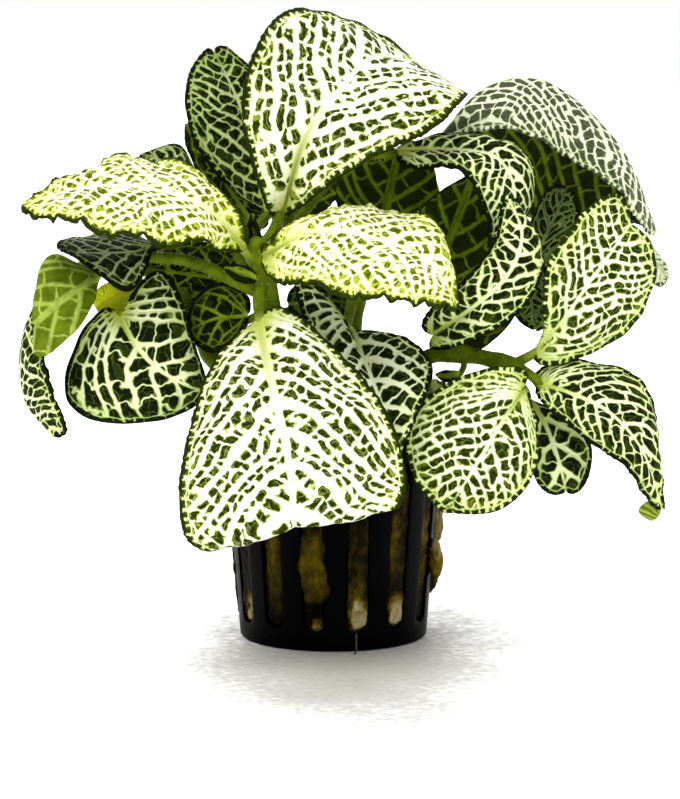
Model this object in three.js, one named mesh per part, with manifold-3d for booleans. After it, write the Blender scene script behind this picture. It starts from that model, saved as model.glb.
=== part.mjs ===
// Potted nerve plant: a slotted net pot, its rock wool plug, the rooted stems and every leaf with its stalk.
// Millimetres, +Z up, +X to the right, the viewer at -Y, and the origin at the middle of the pot's flat base.

import * as THREE from 'three';
import { mergeVertices } from 'three/addons/utils/BufferGeometryUtils.js';
import Module from 'manifold-3d';

const wasm = await Module();
wasm.setup();

// The pot: a standard 5 cm net pot
const POT_HEIGHT = 48;
const BASE_RADIUS = 21;
const TOP_RADIUS = 25;
const RIM_RADIUS = 26.6;
const RIM_HEIGHT = 1.6;
const RIM_ROUND = 0.4;
const WALL = 1.3;
const BASE_EDGE = 0.6;
const SLOT_COUNT = 14;
const POT_SIDES = 2 * SLOT_COUNT;
const SLOT_WIDTH = 5.2;
const SLOT_LOW = 4.5;
const SLOT_HIGH = 42;
const SLOT_FIRST_DEG = 14;
const DRAIN_COUNT = 8;
const DRAIN_WIDTH = 3.4;
const DRAIN_INNER = 8;
const DRAIN_OUTER = 17;

// The rock wool plug, and the clearance that every cut or seated piece keeps
const CLEARANCE = 0.35;
const PLUG_TOP = 45.5;
const PLUG_CROWN = 1.6;
const PLUG_SHOULDER = 2;
const TUFT_WIDTH = SLOT_WIDTH - 2 * CLEARANCE;
const TUFT_DEPTH = 3.4;
const TUFT_DROP = 2;
const SPILL_DEPTH = 1.2;

// Blades are sheets of even thickness, with stalks and stems as tubes
const BLADE_THICKNESS = 0.7;
const STEM_SIDES = 8;
const STEM_STEP = 6;
const STALK_SIDES = 6;
const MARGIN_STATIONS = [0.2, 0.5, 0.8];
const BASE_FULLNESS = 0.38;
const TIP_FULLNESS = 0.56;
const LEFT_WAVE_LAG = 0.35;
const BLADE_END = 0.004;
const ROW_SPACING = 5;
const COLUMN_SPACING = 11;
const STALK_SINK = 0.12;
const STALK_LAY = 0.8;
const FACET_TOLERANCE = 0.02;

// Stems, as hand-measured points [across, depth, height] on their axes, from inside the plug to the tip
const stems = {
  main_stem: {
    radius: 2.25,
    points: [
      [-6.2, 1, 30.5], [-7.5, 0, 41], [-9.7, -2, 52.6], [-12.6, -5, 66.6], [-14.5, -7, 76.9],
      [-15.8, -8, 85.5], [-16.9, -8, 91.3],
    ],
  },
  left_stem: {
    radius: 1.85,
    points: [
      [-6.2, 8, 29.4], [-8, 7, 39.9], [-16.1, 4, 51.1], [-25.1, 2, 59.8], [-29.7, 1, 67.4],
      [-33.1, 2, 73.6], [-35.1, 2, 78.4],
    ],
  },
  back_stem: {
    radius: 1.95,
    points: [
      [2.9, 7, 29.5], [3.8, 7, 39.9], [4.7, 6, 54.9], [4.7, 5, 69.9], [6.5, 6, 79.5],
      [14, 12, 85.7], [24.3, 18, 88.3], [35.8, 21, 86.6], [43.6, 20, 83.2],
    ],
  },
  right_branch: {
    radius: 1.85,
    points: [
      [6.5, 1, 30.5], [7.8, 1, 40.8], [11.8, -1, 51.8], [16.3, -3, 59.8], [20.3, -4, 63.3],
      [25.6, -5, 64.8], [33.8, -6, 63.8], [42.7, -8, 61.1],
    ],
  },
};

// Leaves, as hand-measured points [across, depth, height]. Each has five points along its midrib from base to
// tip, and three on either margin, at the fifths of its length in MARGIN_STATIONS. Left and right are as seen
// from above the leaf with the tip pointing away. The stalk runs from its stem's axis to the blade. The wave
// is the margin's [height, count along the leaf, phase], and the bulge is how far each half swells.
const leaves = {
  leaf_top: {
    stem: 'main_stem',
    net: 'white',
    rib: [[-11, 0, 96.8], [-6.3, -4, 112.3], [0.6, 0, 122], [9.1, 11, 129.8], [18.7, 27, 127.8]],
    left: [[-18, -7, 105.4], [-19.5, -6, 126.6], [-7.2, 9, 141.1]],
    right: [[0.2, -8, 103.1], [18.7, -8, 113], [29.7, 7, 120.6]],
    petiole: [[-16, -8, 88.8], [-13.4, -5, 92.1]],
    wave: [0.7, 2.5, 0.3],
    bulge: 1.6,
    stalk: 1.2,
  },
  leaf_left: {
    stem: 'main_stem',
    net: 'pale',
    rib: [[-19.3, -9, 88.3], [-28.2, -13, 98], [-40.2, -15, 102.3], [-53.3, -16, 102.9], [-68.4, -17, 99]],
    left: [[-29, -22, 90.3], [-41.1, -30, 92], [-56.3, -27, 95.4]],
    right: [[-26.4, -5, 103.2], [-43.1, 1, 108.1], [-56.9, -7, 105.2]],
    petiole: [[-15.8, -8, 84.2], [-17.5, -9, 86.1]],
    wave: [1.3, 3.5, 0.1],
    bulge: 1.5,
    stalk: 1.3,
  },
  leaf_right: {
    stem: 'main_stem',
    net: 'pale',
    rib: [[-15.7, -11, 87.2], [-3.3, -15, 93.1], [8.5, -18, 91.8], [20.1, -20, 87.2], [27.3, -21, 77.2]],
    left: [[-7.8, -9, 95.2], [9.1, -3, 97.1], [23.6, -9, 93.2]],
    right: [[-7.2, -22, 81.5], [6.3, -31, 79.5], [20.6, -29, 77.9]],
    petiole: [[-15.8, -8, 86.8]],
    wave: [1.0, 3.0, 0.6],
    bulge: 1.8,
    stalk: 1.3,
  },
  leaf_front: {
    stem: 'main_stem',
    net: 'white',
    rib: [[-16.6, -16, 73.5], [-12.8, -34, 60], [-9.2, -45, 45.3], [-8.3, -47, 33.3], [-8.2, -36, 33.2]],
    left: [[-1.8, -21, 70.6], [12.5, -35, 54], [14.8, -42, 37.7]],
    right: [[-26.1, -23, 64.7], [-32.4, -38, 46.6], [-30.1, -44, 27.6]],
    petiole: [[-15.6, -8, 81.7], [-16.4, -13, 77.6]],
    wave: [0.7, 2.5, 0.8],
    bulge: 2.0,
    stalk: 1.4,
  },
  leaf_low_left: {
    stem: 'left_stem',
    net: 'dark',
    rib: [[-47.4, -8, 73.2], [-43.6, -13, 67.6], [-39.1, -16, 63.1], [-33.8, -17, 59.9], [-28.7, -16, 57.5]],
    left: [[-35.9, -6, 81.5], [-31.5, -11, 70.7], [-28.6, -14, 61]],
    right: [[-57.5, -7, 66.6], [-57.4, -14, 53.4], [-41.1, -16, 50.8]],
    petiole: [[-31.5, 1.5, 70.5], [-37.2, -1, 73.5], [-43.1, -4, 75.4]],
    wave: [0.5, 2.5, 0.0],
    bulge: 1.6,
    stalk: 1.2,
  },
  leaf_far_left: {
    stem: 'left_stem',
    net: 'under',
    rib: [[-51.7, -8, 82.4], [-55, -12, 80.6], [-58.8, -15, 78.3], [-62.3, -16, 75.5], [-65.7, -15, 72.1]],
    left: [[-56.7, -6, 85.3], [-63.2, -8, 86.4], [-65.9, -12, 79.7]],
    right: [[-53.2, -14, 76.8], [-56.5, -18, 71.5], [-63.2, -18, 65.8]],
    petiole: [[-34.2, 1.5, 76.2], [-41, -1, 79.4], [-48, -4, 81.7]],
    wave: [0.5, 2.0, 0.4],
    bulge: -0.8,
    stalk: 1.0,
  },
  leaf_hanging_left: {
    stem: 'left_stem',
    net: 'dark',
    rib: [[-62.4, 4, 80.2], [-68.1, -1, 71.7], [-69.8, -6, 63.3], [-68.4, -12, 54.5], [-61.8, -18, 47.8]],
    left: [[-65.1, -2, 75], [-64.5, -12, 65.9], [-59.8, -20, 54.3]],
    right: [[-65.5, 10, 75], [-68, 8, 63.8], [-64.8, -3, 53.9]],
    petiole: [[-34.9, 2, 77.9], [-41.2, 3, 81.6], [-50.3, 6, 83.6], [-57.5, 6, 83.1]],
    wave: [0.5, 2.0, 0.2],
    bulge: 1.0,
    stalk: 0.9,
  },
  leaf_under_left: {
    stem: 'main_stem',
    net: 'dark',
    rib: [[-39.9, -8, 88.4], [-44.5, -10, 87.9], [-49.2, -12, 87.9], [-54.4, -14, 88.1], [-60.1, -14, 88.8]],
    left: [[-40.8, -14, 84.8], [-45.6, -20, 80.6], [-53.6, -20, 85.5]],
    right: [[-43.3, 2, 90.3], [-51.6, 6, 90.8], [-59, -4, 90]],
    petiole: [[-14.9, -7, 77.8], [-21.8, -9, 81.4], [-31.3, -8, 85.5]],
    wave: [0.5, 2.0, 0.5],
    bulge: 1.0,
    stalk: 1.4,
  },
  leaf_yellow: {
    stem: 'left_stem',
    net: 'under',
    rib: [[-46.2, 4, 79.7], [-47.5, 3, 77.6], [-48.8, 2, 75.4], [-49.6, 1, 73.3], [-50.5, 0, 71.4]],
    left: [[-44.7, 6, 77.7], [-45.6, 6, 74.1], [-48, 3, 71.7]],
    right: [[-50.8, -2, 79.9], [-53.6, -4, 77.5], [-52.6, -2, 73.6]],
    petiole: [[-32.9, 2, 73.2], [-38.1, 5, 75.3], [-43, 7, 78]],
    wave: [0.3, 2.0, 0.5],
    bulge: 0.6,
    stalk: 0.9,
  },
  leaf_upper_left: {
    stem: 'main_stem',
    net: 'dark',
    rib: [[-14.7, 8, 95.1], [-17.5, 12, 105.4], [-20.5, 15, 116.5], [-23.7, 18, 123.8], [-27.1, 19, 130.5]],
    left: [[-25.6, 12, 102.5], [-33.2, 10, 116.4], [-32, 16, 127.3]],
    right: [[-9.8, 16, 104], [-13.3, 22, 117.2], [-20.6, 22, 128.5]],
    petiole: [[-16.4, -8, 88], [-17.9, 0, 89.4], [-17, 7, 92.1]],
    wave: [0.5, 2.5, 0.5],
    bulge: 1.3,
    stalk: 1.2,
  },
  leaf_upper_left_back: {
    stem: 'main_stem',
    net: 'dark',
    rib: [[-17.1, 14, 90.9], [-21.8, 19, 96.4], [-26.4, 23, 102.5], [-30.6, 25, 108], [-33.7, 25, 113.8]],
    left: [[-22.2, 18, 93.1], [-29.8, 21, 101.3], [-33.8, 25, 108.7]],
    right: [[-16.4, 26, 96.7], [-21.6, 31, 107.3], [-28, 30, 113.2]],
    petiole: [[-16, -8, 85.3], [-18.9, 2, 86], [-18.6, 10, 88.6]],
    wave: [0.5, 2.5, 0.0],
    bulge: 1.0,
    stalk: 1.1,
  },
  leaf_behind_left: {
    stem: 'main_stem',
    net: 'dark',
    rib: [[-28.6, 6, 97.8], [-33, 9, 102.3], [-36.9, 11, 105], [-40.3, 12, 106.8], [-43.6, 10, 107.8]],
    left: [[-32.1, 3, 100.1], [-36.1, 4, 102.3], [-41.1, 6, 105.2]],
    right: [[-30.7, 14, 102.1], [-34, 18, 108.3], [-39.3, 16, 109.2]],
    petiole: [[-15.2, -7, 81.6], [-19.5, 0, 82.9], [-24.4, 6, 90.6]],
    wave: [0.5, 2.0, 0.0],
    bulge: 0.8,
    stalk: 1.1,
  },
  leaf_arching_right: {
    stem: 'back_stem',
    net: 'dark',
    rib: [[23.5, 24, 110.2], [35.1, 30, 122.1], [50.2, 34, 122.6], [66.4, 32, 108], [74.6, 26, 88.4]],
    left: [[34.7, 44, 102.8], [48.6, 48, 89.1], [65.1, 42, 88.2]],
    right: [[30.6, 20, 112.3], [46.8, 16, 110.8], [65.1, 16, 98]],
    petiole: [[24.3, 18, 88.3], [23.6, 26, 96.2], [22.1, 26, 104.3]],
    wave: [0.6, 2.5, 0.3],
    bulge: 1.6,
    stalk: 1.2,
  },
  leaf_far_right: {
    stem: 'back_stem',
    net: 'dark',
    rib: [[68.7, 33, 88.6], [71, 33, 85.6], [73.3, 32, 82.4], [75.4, 31, 80], [77.2, 28, 77.8]],
    left: [[71.8, 37, 87.3], [75.3, 36, 83.2], [77.1, 32, 80.1]],
    right: [[68.8, 28, 85.2], [71.7, 26, 81], [74.3, 26, 76.8]],
    petiole: [[39.9, 20.5, 85], [47.6, 28, 87.3], [60.6, 33, 89.1]],
    wave: [0.4, 2.0, 0.3],
    bulge: 0.8,
    stalk: 1.0,
  },
  leaf_curved: {
    stem: 'main_stem',
    net: 'dark',
    rib: [[14.5, 8, 109.1], [25.1, 8, 109.1], [36.1, 6, 107.7], [40.5, 3, 100.5], [38.9, 1, 91.1]],
    left: [[22.3, 12, 111.7], [39, 12, 111.1], [45.7, 9, 100]],
    right: [[19.6, 2, 105.6], [29.8, -1, 103.8], [33.8, -3, 93.5]],
    petiole: [[-16, -8, 86.6], [-12.1, -3, 87.9], [-8.6, 5, 92.5], [0.4, 9, 103.2], [8.3, 9, 107.7]],
    wave: [0.5, 2.5, 0.3],
    bulge: 1.4,
    stalk: 1.1,
  },
  leaf_middle_right: {
    stem: 'right_branch',
    net: 'dark',
    rib: [[22, -7, 68.9], [30.7, -12, 75.7], [38.5, -14, 83.3], [41.6, -12, 91.7], [38.9, -8, 99.5]],
    left: [[22.8, -9, 76.5], [31.6, -11, 84.5], [36.7, -9, 93.6]],
    right: [[30.2, -13, 68], [43.8, -14, 78.4], [45.1, -8, 92.2]],
    petiole: [[25.6, -5, 64.8], [24, -6, 66.7]],
    wave: [0.6, 2.5, 0.7],
    bulge: 1.4,
    stalk: 1.1,
  },
  leaf_right_upper: {
    stem: 'right_branch',
    net: 'pale',
    rib: [[44.6, -8, 65.4], [50.9, -11, 73.1], [55.9, -11, 80.3], [60.6, -9, 86.5], [66, -4, 93.6]],
    left: [[46.4, -12, 74.6], [47.6, -12, 85.9], [57.4, -6, 98.4]],
    right: [[56, -8, 64.3], [68.4, -4, 73], [71.8, -2, 84]],
    petiole: [[39.6, -7.2, 62.4], [42.4, -8, 63.8]],
    wave: [0.6, 2.5, 0.2],
    bulge: 1.4,
    stalk: 1.1,
  },
  leaf_right_lower: {
    stem: 'right_branch',
    net: 'dark',
    rib: [[46.3, -11, 58.4], [52.8, -15, 56.9], [61.2, -18, 52.9], [68.2, -20, 44.5], [72.5, -18, 31.5]],
    left: [[51.9, -6, 62.9], [66.9, -9, 60.1], [72.6, -15, 44.4]],
    right: [[47.2, -16, 53.7], [56.8, -22, 47], [66.1, -23, 39]],
    petiole: [[42.4, -8, 61.2], [44.6, -10, 59.8]],
    wave: [0.8, 2.5, 0.5],
    bulge: 1.4,
    stalk: 1.1,
  },
  leaf_round: {
    stem: 'right_branch',
    net: 'pale',
    rib: [[40.8, -15, 56.3], [36.7, -20, 50.7], [32.7, -23, 44.5], [28.5, -23, 37.6], [24.9, -21, 31.5]],
    left: [[45.1, -15, 50], [42.2, -21, 36.4], [31.6, -23, 31.4]],
    right: [[32.3, -17, 62.6], [17.5, -21, 53.1], [18, -23, 39]],
    petiole: [[40.5, -7.5, 62], [40.5, -12, 59.2]],
    wave: [0.5, 2.5, 0.1],
    bulge: 1.5,
    stalk: 1.1,
  },
  leaf_behind_round: {
    stem: 'right_branch',
    net: 'dark',
    rib: [[44, -4, 54], [47.3, -6, 48.7], [49.5, -8, 43.3], [50.8, -9, 39], [52, -8, 34.1]],
    left: [[50.3, -4, 51.8], [57.2, -6, 45.3], [56.9, -8, 37.2]],
    right: [[42.1, -7, 48.8], [43.9, -9, 40.1], [46.6, -9, 34.7]],
    petiole: [[38, -7, 63], [40, -3, 58.7], [43, -2, 55.8]],
    wave: [0.4, 2.0, 0.1],
    bulge: 1.0,
    stalk: 1.0,
  },
  leaf_middle: {
    stem: 'back_stem',
    net: 'dark',
    rib: [[3.7, -4, 71], [6.4, -12, 65.2], [9.6, -21, 58.2], [12.2, -27, 51.8], [14.6, -29, 45.2]],
    left: [[11.7, -8, 69.4], [21.6, -16, 64.4], [19, -25, 54.8]],
    right: [[-8.1, -3, 77.1], [0.4, -20, 58.5], [8.5, -28, 47.5]],
    petiole: [[4.4, 5, 75.5], [3.7, 0, 73.4]],
    wave: [0.6, 2.0, 0.4],
    bulge: 1.6,
    stalk: 1.2,
  },
  leaf_behind_top: {
    stem: 'back_stem',
    net: 'under',
    rib: [[11.4, 9, 92.3], [12.1, 12, 96.8], [13.1, 15, 100.9], [14, 18, 104.5], [14.7, 18, 108.3]],
    left: [[19, 15, 94.3], [23.4, 18, 99.2], [21.4, 22, 107.6]],
    right: [[2.4, 9, 95], [1, 13, 101.5], [6.5, 16, 107.1]],
    petiole: [[9.4, 9, 82.8], [10.3, 9, 87.8]],
    wave: [0.4, 2.0, 0.4],
    bulge: 0.8,
    stalk: 1.0,
  },
  leaf_behind_right: {
    stem: 'back_stem',
    net: 'under',
    rib: [[21.3, 5, 78.2], [24.7, 8, 85.4], [27.5, 11, 91.7], [29.6, 13, 97.2], [31.6, 13, 102.8]],
    left: [[30.3, 5, 77.8], [35.9, 10, 86.3], [35.5, 14, 95.5]],
    right: [[18.6, 6, 84], [18.4, 9, 93.2], [25.2, 12, 100.2]],
    petiole: [[5.1, 5, 78.2], [13.2, 4, 77.9]],
    wave: [0.4, 2.0, 0.1],
    bulge: 0.8,
    stalk: 1.0,
  },
  leaf_inner_left: {
    stem: 'main_stem',
    net: 'dark',
    rib: [[-19.2, -7, 73.1], [-22.3, -7, 72.9], [-25.6, -7, 72.7], [-29, -7, 71.5], [-32.1, -7, 69.7]],
    left: [[-20.7, -11, 68.9], [-25.1, -12, 65.9], [-29.6, -10, 66.5]],
    right: [[-20.1, -4, 78.6], [-25.5, -3, 80.3], [-30.8, -4, 77]],
    petiole: [[-14.1, -6, 73.2], [-16.7, -7, 73.3]],
    wave: [0.4, 2.0, 0.1],
    bulge: 0.8,
    stalk: 1.0,
  },
  leaf_inner_back: {
    stem: 'main_stem',
    net: 'dark',
    rib: [[-19.7, 7, 79.2], [-25.2, 9, 79.8], [-31.1, 11, 80.5], [-37.1, 12, 81.1], [-42.5, 12, 82]],
    left: [[-24.2, 6, 75], [-31.3, 8, 72.9], [-39.3, 10, 75.6]],
    right: [[-23.1, 9, 86], [-31.6, 14, 88], [-40.7, 13, 86.7]],
    petiole: [[-14.3, -7, 76.5], [-16.7, 2, 77.7]],
    wave: [0.4, 2.0, 0.6],
    bulge: 0.8,
    stalk: 1.0,
  },
  leaf_inner_right: {
    stem: 'main_stem',
    net: 'dark',
    rib: [[-10.2, 6, 74.1], [-6.9, 8, 74.5], [-3.5, 10, 74.7], [-0.1, 11, 74.6], [3.3, 11, 73.9]],
    left: [[-7.6, 12, 78.4], [-3, 14, 78.6], [1, 14, 77.5]],
    right: [[-7.9, 2, 71.8], [-3.5, 5, 69.6], [1, 8, 70.2]],
    petiole: [[-13.9, -6, 73.2], [-12.2, -1, 73.3]],
    wave: [0.4, 2.0, 0.3],
    bulge: 0.8,
    stalk: 1.0,
  },
  leaf_bud: {
    stem: 'main_stem',
    net: 'dark',
    rib: [[-17.3, -12, 82.6], [-18.8, -14, 83.5], [-20.5, -15, 84], [-22.3, -15, 84.5], [-24, -15, 84.9]],
    left: [[-18.3, -14, 81.3], [-20.5, -16, 81.7], [-22.5, -16, 83]],
    right: [[-18.3, -13, 84.7], [-21, -13, 85.4], [-22.9, -14, 85.5]],
    petiole: [[-15.8, -8, 83.9]],
    wave: [0.1, 2.0, 0.0],
    bulge: 0.3,
    stalk: 0.8,
  },
  young_leaf_left: {
    stem: 'main_stem',
    net: 'dark',
    rib: [[-16.9, -8, 88.8], [-17.1, -7, 90.3], [-17.4, -6, 92], [-17.8, -6, 93.8], [-18, -5, 95.9]],
    left: [[-18, -8, 89.3], [-18.9, -8, 91.5], [-18.9, -7, 94.3]],
    right: [[-16, -9, 89.8], [-16.2, -9, 92.3], [-16.9, -7, 94.3]],
    petiole: [[-16.9, -8, 87.3]],
    wave: [0.1, 2.0, 0.0],
    bulge: 0.2,
    stalk: 0.8,
  },
  leaf_blurred_right: {
    stem: 'back_stem',
    net: 'dark',
    rib: [[43, 23, 82.2], [44.2, 23, 77.6], [45.1, 22, 74], [45.8, 21, 70.5], [46.2, 19, 67.2]],
    left: [[49.2, 26, 79.6], [51.2, 24, 73.8], [49.5, 21, 68.6]],
    right: [[40.7, 21, 78.3], [40.9, 20, 72.6], [42.9, 19, 68.6]],
    petiole: [[39.3, 21, 85.2]],
    wave: [0.3, 2.0, 0.4],
    bulge: 0.7,
    stalk: 1.0,
  },
  leaf_dark_right: {
    stem: 'back_stem',
    net: 'dark',
    rib: [[45.5, 17, 83.6], [47.6, 18, 87.1], [49.7, 20, 90.8], [51.6, 21, 94.6], [53.1, 20, 99.1]],
    left: [[44.7, 21, 88], [46, 24, 93.6], [49.4, 25, 98.6]],
    right: [[50.4, 14, 81.8], [54.5, 15, 87.4], [56.1, 17, 94.8]],
    petiole: [[42.9, 20, 83.6]],
    wave: [0.3, 2.0, 0.4],
    bulge: 0.7,
    stalk: 0.9,
  },
  leaf_under_middle: {
    stem: 'right_branch',
    net: 'under',
    rib: [[26.6, -2, 66.4], [30.5, -4, 68.9], [34.3, -5, 72], [37.1, -5, 74.9], [39.6, -4, 78.4]],
    left: [[30.4, -7, 65.5], [36.2, -8, 68.5], [40.4, -7, 74.2]],
    right: [[28, 1, 70.3], [33, 3, 75.8], [37.4, 1, 79.4]],
    petiole: [[25.9, -4, 64.7]],
    wave: [0.3, 2.0, 0.4],
    bulge: 0.7,
    stalk: 1.0,
  },
  leaf_branch_bud: {
    stem: 'right_branch',
    net: 'dark',
    rib: [[28, -8, 60.7], [26.6, -9, 60.4], [25.5, -10, 60.3], [24.2, -10, 60.3], [22.8, -10, 60.5]],
    left: [[27.1, -9, 59.5], [25.5, -10, 58.9], [23.7, -10, 59.6]],
    right: [[27.1, -8, 61.1], [25.5, -9, 61.3], [23.7, -9, 61]],
    petiole: [[28.7, -5, 64.3], [29.1, -7, 62.1]],
    wave: [0.1, 2.0, 0.0],
    bulge: 0.2,
    stalk: 0.7,
  },
  leaf_back_low: {
    stem: 'main_stem',
    net: 'dark',
    rib: [[-8.5, 12, 70.6], [-9.1, 24, 66.4], [-10.1, 34, 60.5], [-11.4, 42, 53.3], [-12.7, 45, 45.7]],
    left: [[-15, 22, 68.5], [-21, 30, 60.5], [-19.2, 40, 49.8]],
    right: [[-1.9, 20, 68.7], [0.6, 30, 60.5], [-5.1, 40, 48.6]],
    petiole: [[-12.8, -5, 67.7], [-10.7, 4, 68.8]],
    wave: [0.6, 2.5, 0.4],
    bulge: 1.4,
    stalk: 1.2,
  },
  leaf_back_low_right: {
    stem: 'back_stem',
    net: 'dark',
    rib: [[6.1, 14, 63], [8.4, 25, 60.7], [12, 34, 55.3], [15.1, 40, 48.8], [17.5, 42, 42.3]],
    left: [[4.3, 22, 60.6], [4.8, 31, 51.5], [11.8, 38, 42.5]],
    right: [[12.6, 24, 62.7], [20.6, 34, 57.2], [22.2, 40, 47.4]],
    petiole: [[4.4, 5, 64.2]],
    wave: [0.6, 2.5, 0.1],
    bulge: 1.3,
    stalk: 1.1,
  },
  leaf_back_left: {
    stem: 'main_stem',
    net: 'dark',
    rib: [[-21.8, 20, 86.7], [-27.8, 29, 88.3], [-33.4, 36, 89.5], [-39.5, 43, 90.7], [-45.5, 47, 91]],
    left: [[-25.6, 23, 86.6], [-34.1, 30, 86.6], [-42.3, 39, 87.6]],
    right: [[-24.9, 33, 91.4], [-34.7, 48, 93.8], [-43.4, 52, 93.4]],
    petiole: [[-14.7, -7, 79.1], [-15.8, 4, 79.9], [-19, 15, 84]],
    wave: [0.8, 2.5, 0.2],
    bulge: 1.3,
    stalk: 1.2,
  },
  leaf_back_right: {
    stem: 'back_stem',
    net: 'dark',
    rib: [[1.5, 16, 81.6], [4.3, 27, 81.8], [8.5, 37, 81.9], [13.7, 45, 81.1], [19.5, 51, 79]],
    left: [[2.7, 32, 85.9], [9, 46, 87.4], [16.9, 54, 84.2]],
    right: [[2.6, 22, 76.8], [10.3, 33, 74.6], [18.4, 45, 74.2]],
    petiole: [[5.3, 5, 79.2], [2.9, 11, 80.3]],
    wave: [0.8, 2.5, 0.7],
    bulge: 1.3,
    stalk: 1.2,
  },
  leaf_back_top: {
    stem: 'main_stem',
    net: 'dark',
    rib: [[-9.8, 14, 90], [-4.9, 27, 100.7], [0.3, 39, 108.6], [4.3, 45, 114.2], [8.5, 47, 118.8]],
    left: [[1, 25, 97.2], [11, 38, 108.9], [14.4, 45, 116.5]],
    right: [[-14.7, 31, 96.7], [-12, 39, 110.4], [-2, 45, 118.9]],
    petiole: [[-15.4, -8, 83.9], [-13.1, 2, 84.4], [-11.6, 10, 87]],
    wave: [0.7, 2.5, 0.6],
    bulge: 1.3,
    stalk: 1.2,
  },
  leaf_back_middle: {
    stem: 'back_stem',
    net: 'dark',
    rib: [[2.6, 14, 54.7], [1.7, 26, 51.9], [1, 36, 46.8], [0.3, 41, 40.6], [-0.4, 43, 33.6]],
    left: [[-2.7, 24, 52], [-6.7, 37, 45.4], [-5.6, 42, 36.9]],
    right: [[7, 24, 51.5], [8.1, 37, 43.6], [4.8, 42, 35.7]],
    petiole: [[4.4, 6.3, 56.7]],
    wave: [0.6, 2.5, 0.3],
    bulge: 1.2,
    stalk: 1.1,
  },
  leaf_back_inner: {
    stem: 'back_stem',
    net: 'dark',
    rib: [[12.5, 19, 87.2], [9.3, 26, 90.2], [6.8, 31, 93.5], [4.7, 34, 96.7], [3.1, 36, 100]],
    left: [[7.4, 20, 86.5], [2, 26, 92.3], [-0.1, 32, 97.5]],
    right: [[13.7, 27, 90.6], [12.2, 36, 96.7], [7.6, 39, 100.2]],
    petiole: [[13.5, 11.8, 85.5]],
    wave: [0.5, 2.5, 0.2],
    bulge: 1.0,
    stalk: 1.0,
  },
  leaf_back_far_left: {
    stem: 'left_stem',
    net: 'dark',
    rib: [[-33.2, 9, 67.5], [-38.5, 22, 63.4], [-43.6, 32, 59.5], [-47.9, 38, 55.5], [-51.1, 41, 50.6]],
    left: [[-38.6, 20, 66.9], [-46.9, 33, 62.5], [-51.9, 39, 55.6]],
    right: [[-34.3, 19, 60.5], [-39.1, 29, 52.7], [-46.3, 37, 49]],
    petiole: [[-27.9, 1.4, 63.5], [-30.3, 4, 66.1]],
    wave: [0.6, 2.5, 0.5],
    bulge: 1.2,
    stalk: 1.1,
  },
  leaf_back_branch: {
    stem: 'right_branch',
    net: 'dark',
    rib: [[21.9, 6, 57.4], [24.4, 18, 52.3], [27.5, 28, 46.7], [30.5, 34, 40.9], [32.9, 37, 34.8]],
    left: [[19.3, 15, 51.8], [21.2, 26, 42.3], [27, 34, 34.3]],
    right: [[28.1, 18, 53.5], [34.5, 29, 48], [36.6, 35, 39.8]],
    petiole: [[16.9, -3.2, 60.6], [19.3, 1, 59.9]],
    wave: [0.6, 2.5, 0.1],
    bulge: 1.2,
    stalk: 1.1,
  },
  leaf_back_low_left: {
    stem: 'main_stem',
    net: 'dark',
    rib: [[-16.2, 7, 59.4], [-20, 18, 55.1], [-23.5, 28, 49.5], [-26.1, 34, 43], [-27.8, 36, 36.6]],
    left: [[-21.5, 20, 57.6], [-28.7, 31, 49.6], [-30.8, 36, 40.9]],
    right: [[-15, 16, 52.9], [-18.9, 28, 43.9], [-22.8, 34, 36.7]],
    petiole: [[-11, -3.4, 59.6], [-13.6, 2, 60.5]],
    wave: [0.6, 2.5, 0.7],
    bulge: 1.2,
    stalk: 1.1,
  },
};

const netColours = { white: 0xb9c98a, pale: 0xa9bd55, dark: 0x4d6128, under: 0x5f7f14 };

const vector = (point) => new THREE.Vector3(...point);

const curveThrough = (points) => new THREE.CatmullRomCurve3(points, false, 'catmullrom', 0.5);

// A closed mesh as a solid, turned right side out
function solidFrom(geometry) {
  const bare = geometry.clone();
  bare.deleteAttribute('normal');
  bare.deleteAttribute('uv');
  const merged = mergeVertices(bare, 1e-4);
  const position = merged.getAttribute('position');
  const corners = [];
  for (let i = 0; i < merged.index.count; i += 3) {
    const [a, b, c] = [merged.index.getX(i), merged.index.getX(i + 1), merged.index.getX(i + 2)];
    if (a !== b && b !== c && c !== a) {
      corners.push(a, b, c);
    }
  }
  let volume = 0;
  const [p, q, r] = [new THREE.Vector3(), new THREE.Vector3(), new THREE.Vector3()];
  for (let i = 0; i < corners.length; i += 3) {
    p.fromBufferAttribute(position, corners[i]);
    q.fromBufferAttribute(position, corners[i + 1]);
    r.fromBufferAttribute(position, corners[i + 2]);
    volume += p.dot(q.clone().cross(r)) / 6;
  }
  if (volume < 0) {
    corners.reverse();
  }
  return new wasm.Manifold(new wasm.Mesh({
    numProp: 3,
    vertProperties: new Float32Array(position.array),
    triVerts: new Uint32Array(corners),
  }));
}

function geometryFrom(solid) {
  const mesh = solid.getMesh();
  const geometry = new THREE.BufferGeometry();
  geometry.setAttribute('position', new THREE.BufferAttribute(mesh.vertProperties, 3));
  geometry.setIndex(new THREE.BufferAttribute(mesh.triVerts, 1));
  return geometry;
}

const plant = new THREE.Group();

function addPiece(name, solid, colour, roughness) {
  const material = new THREE.MeshStandardMaterial({ color: colour, roughness, metalness: 0 });
  const mesh = new THREE.Mesh(geometryFrom(solid.asOriginal().simplify(FACET_TOLERANCE)), material);
  mesh.name = name;
  plant.add(mesh);
}

// A turned body from its profile of [radius, height] points, with one flat side centred on each slot and rib
function turned(profile) {
  const points = profile.map(([radius, height]) => new THREE.Vector2(radius, height));
  const start = THREE.MathUtils.degToRad(SLOT_FIRST_DEG - 180 / POT_SIDES);
  return new THREE.LatheGeometry(points, POT_SIDES, start).rotateX(Math.PI / 2);
}

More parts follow.
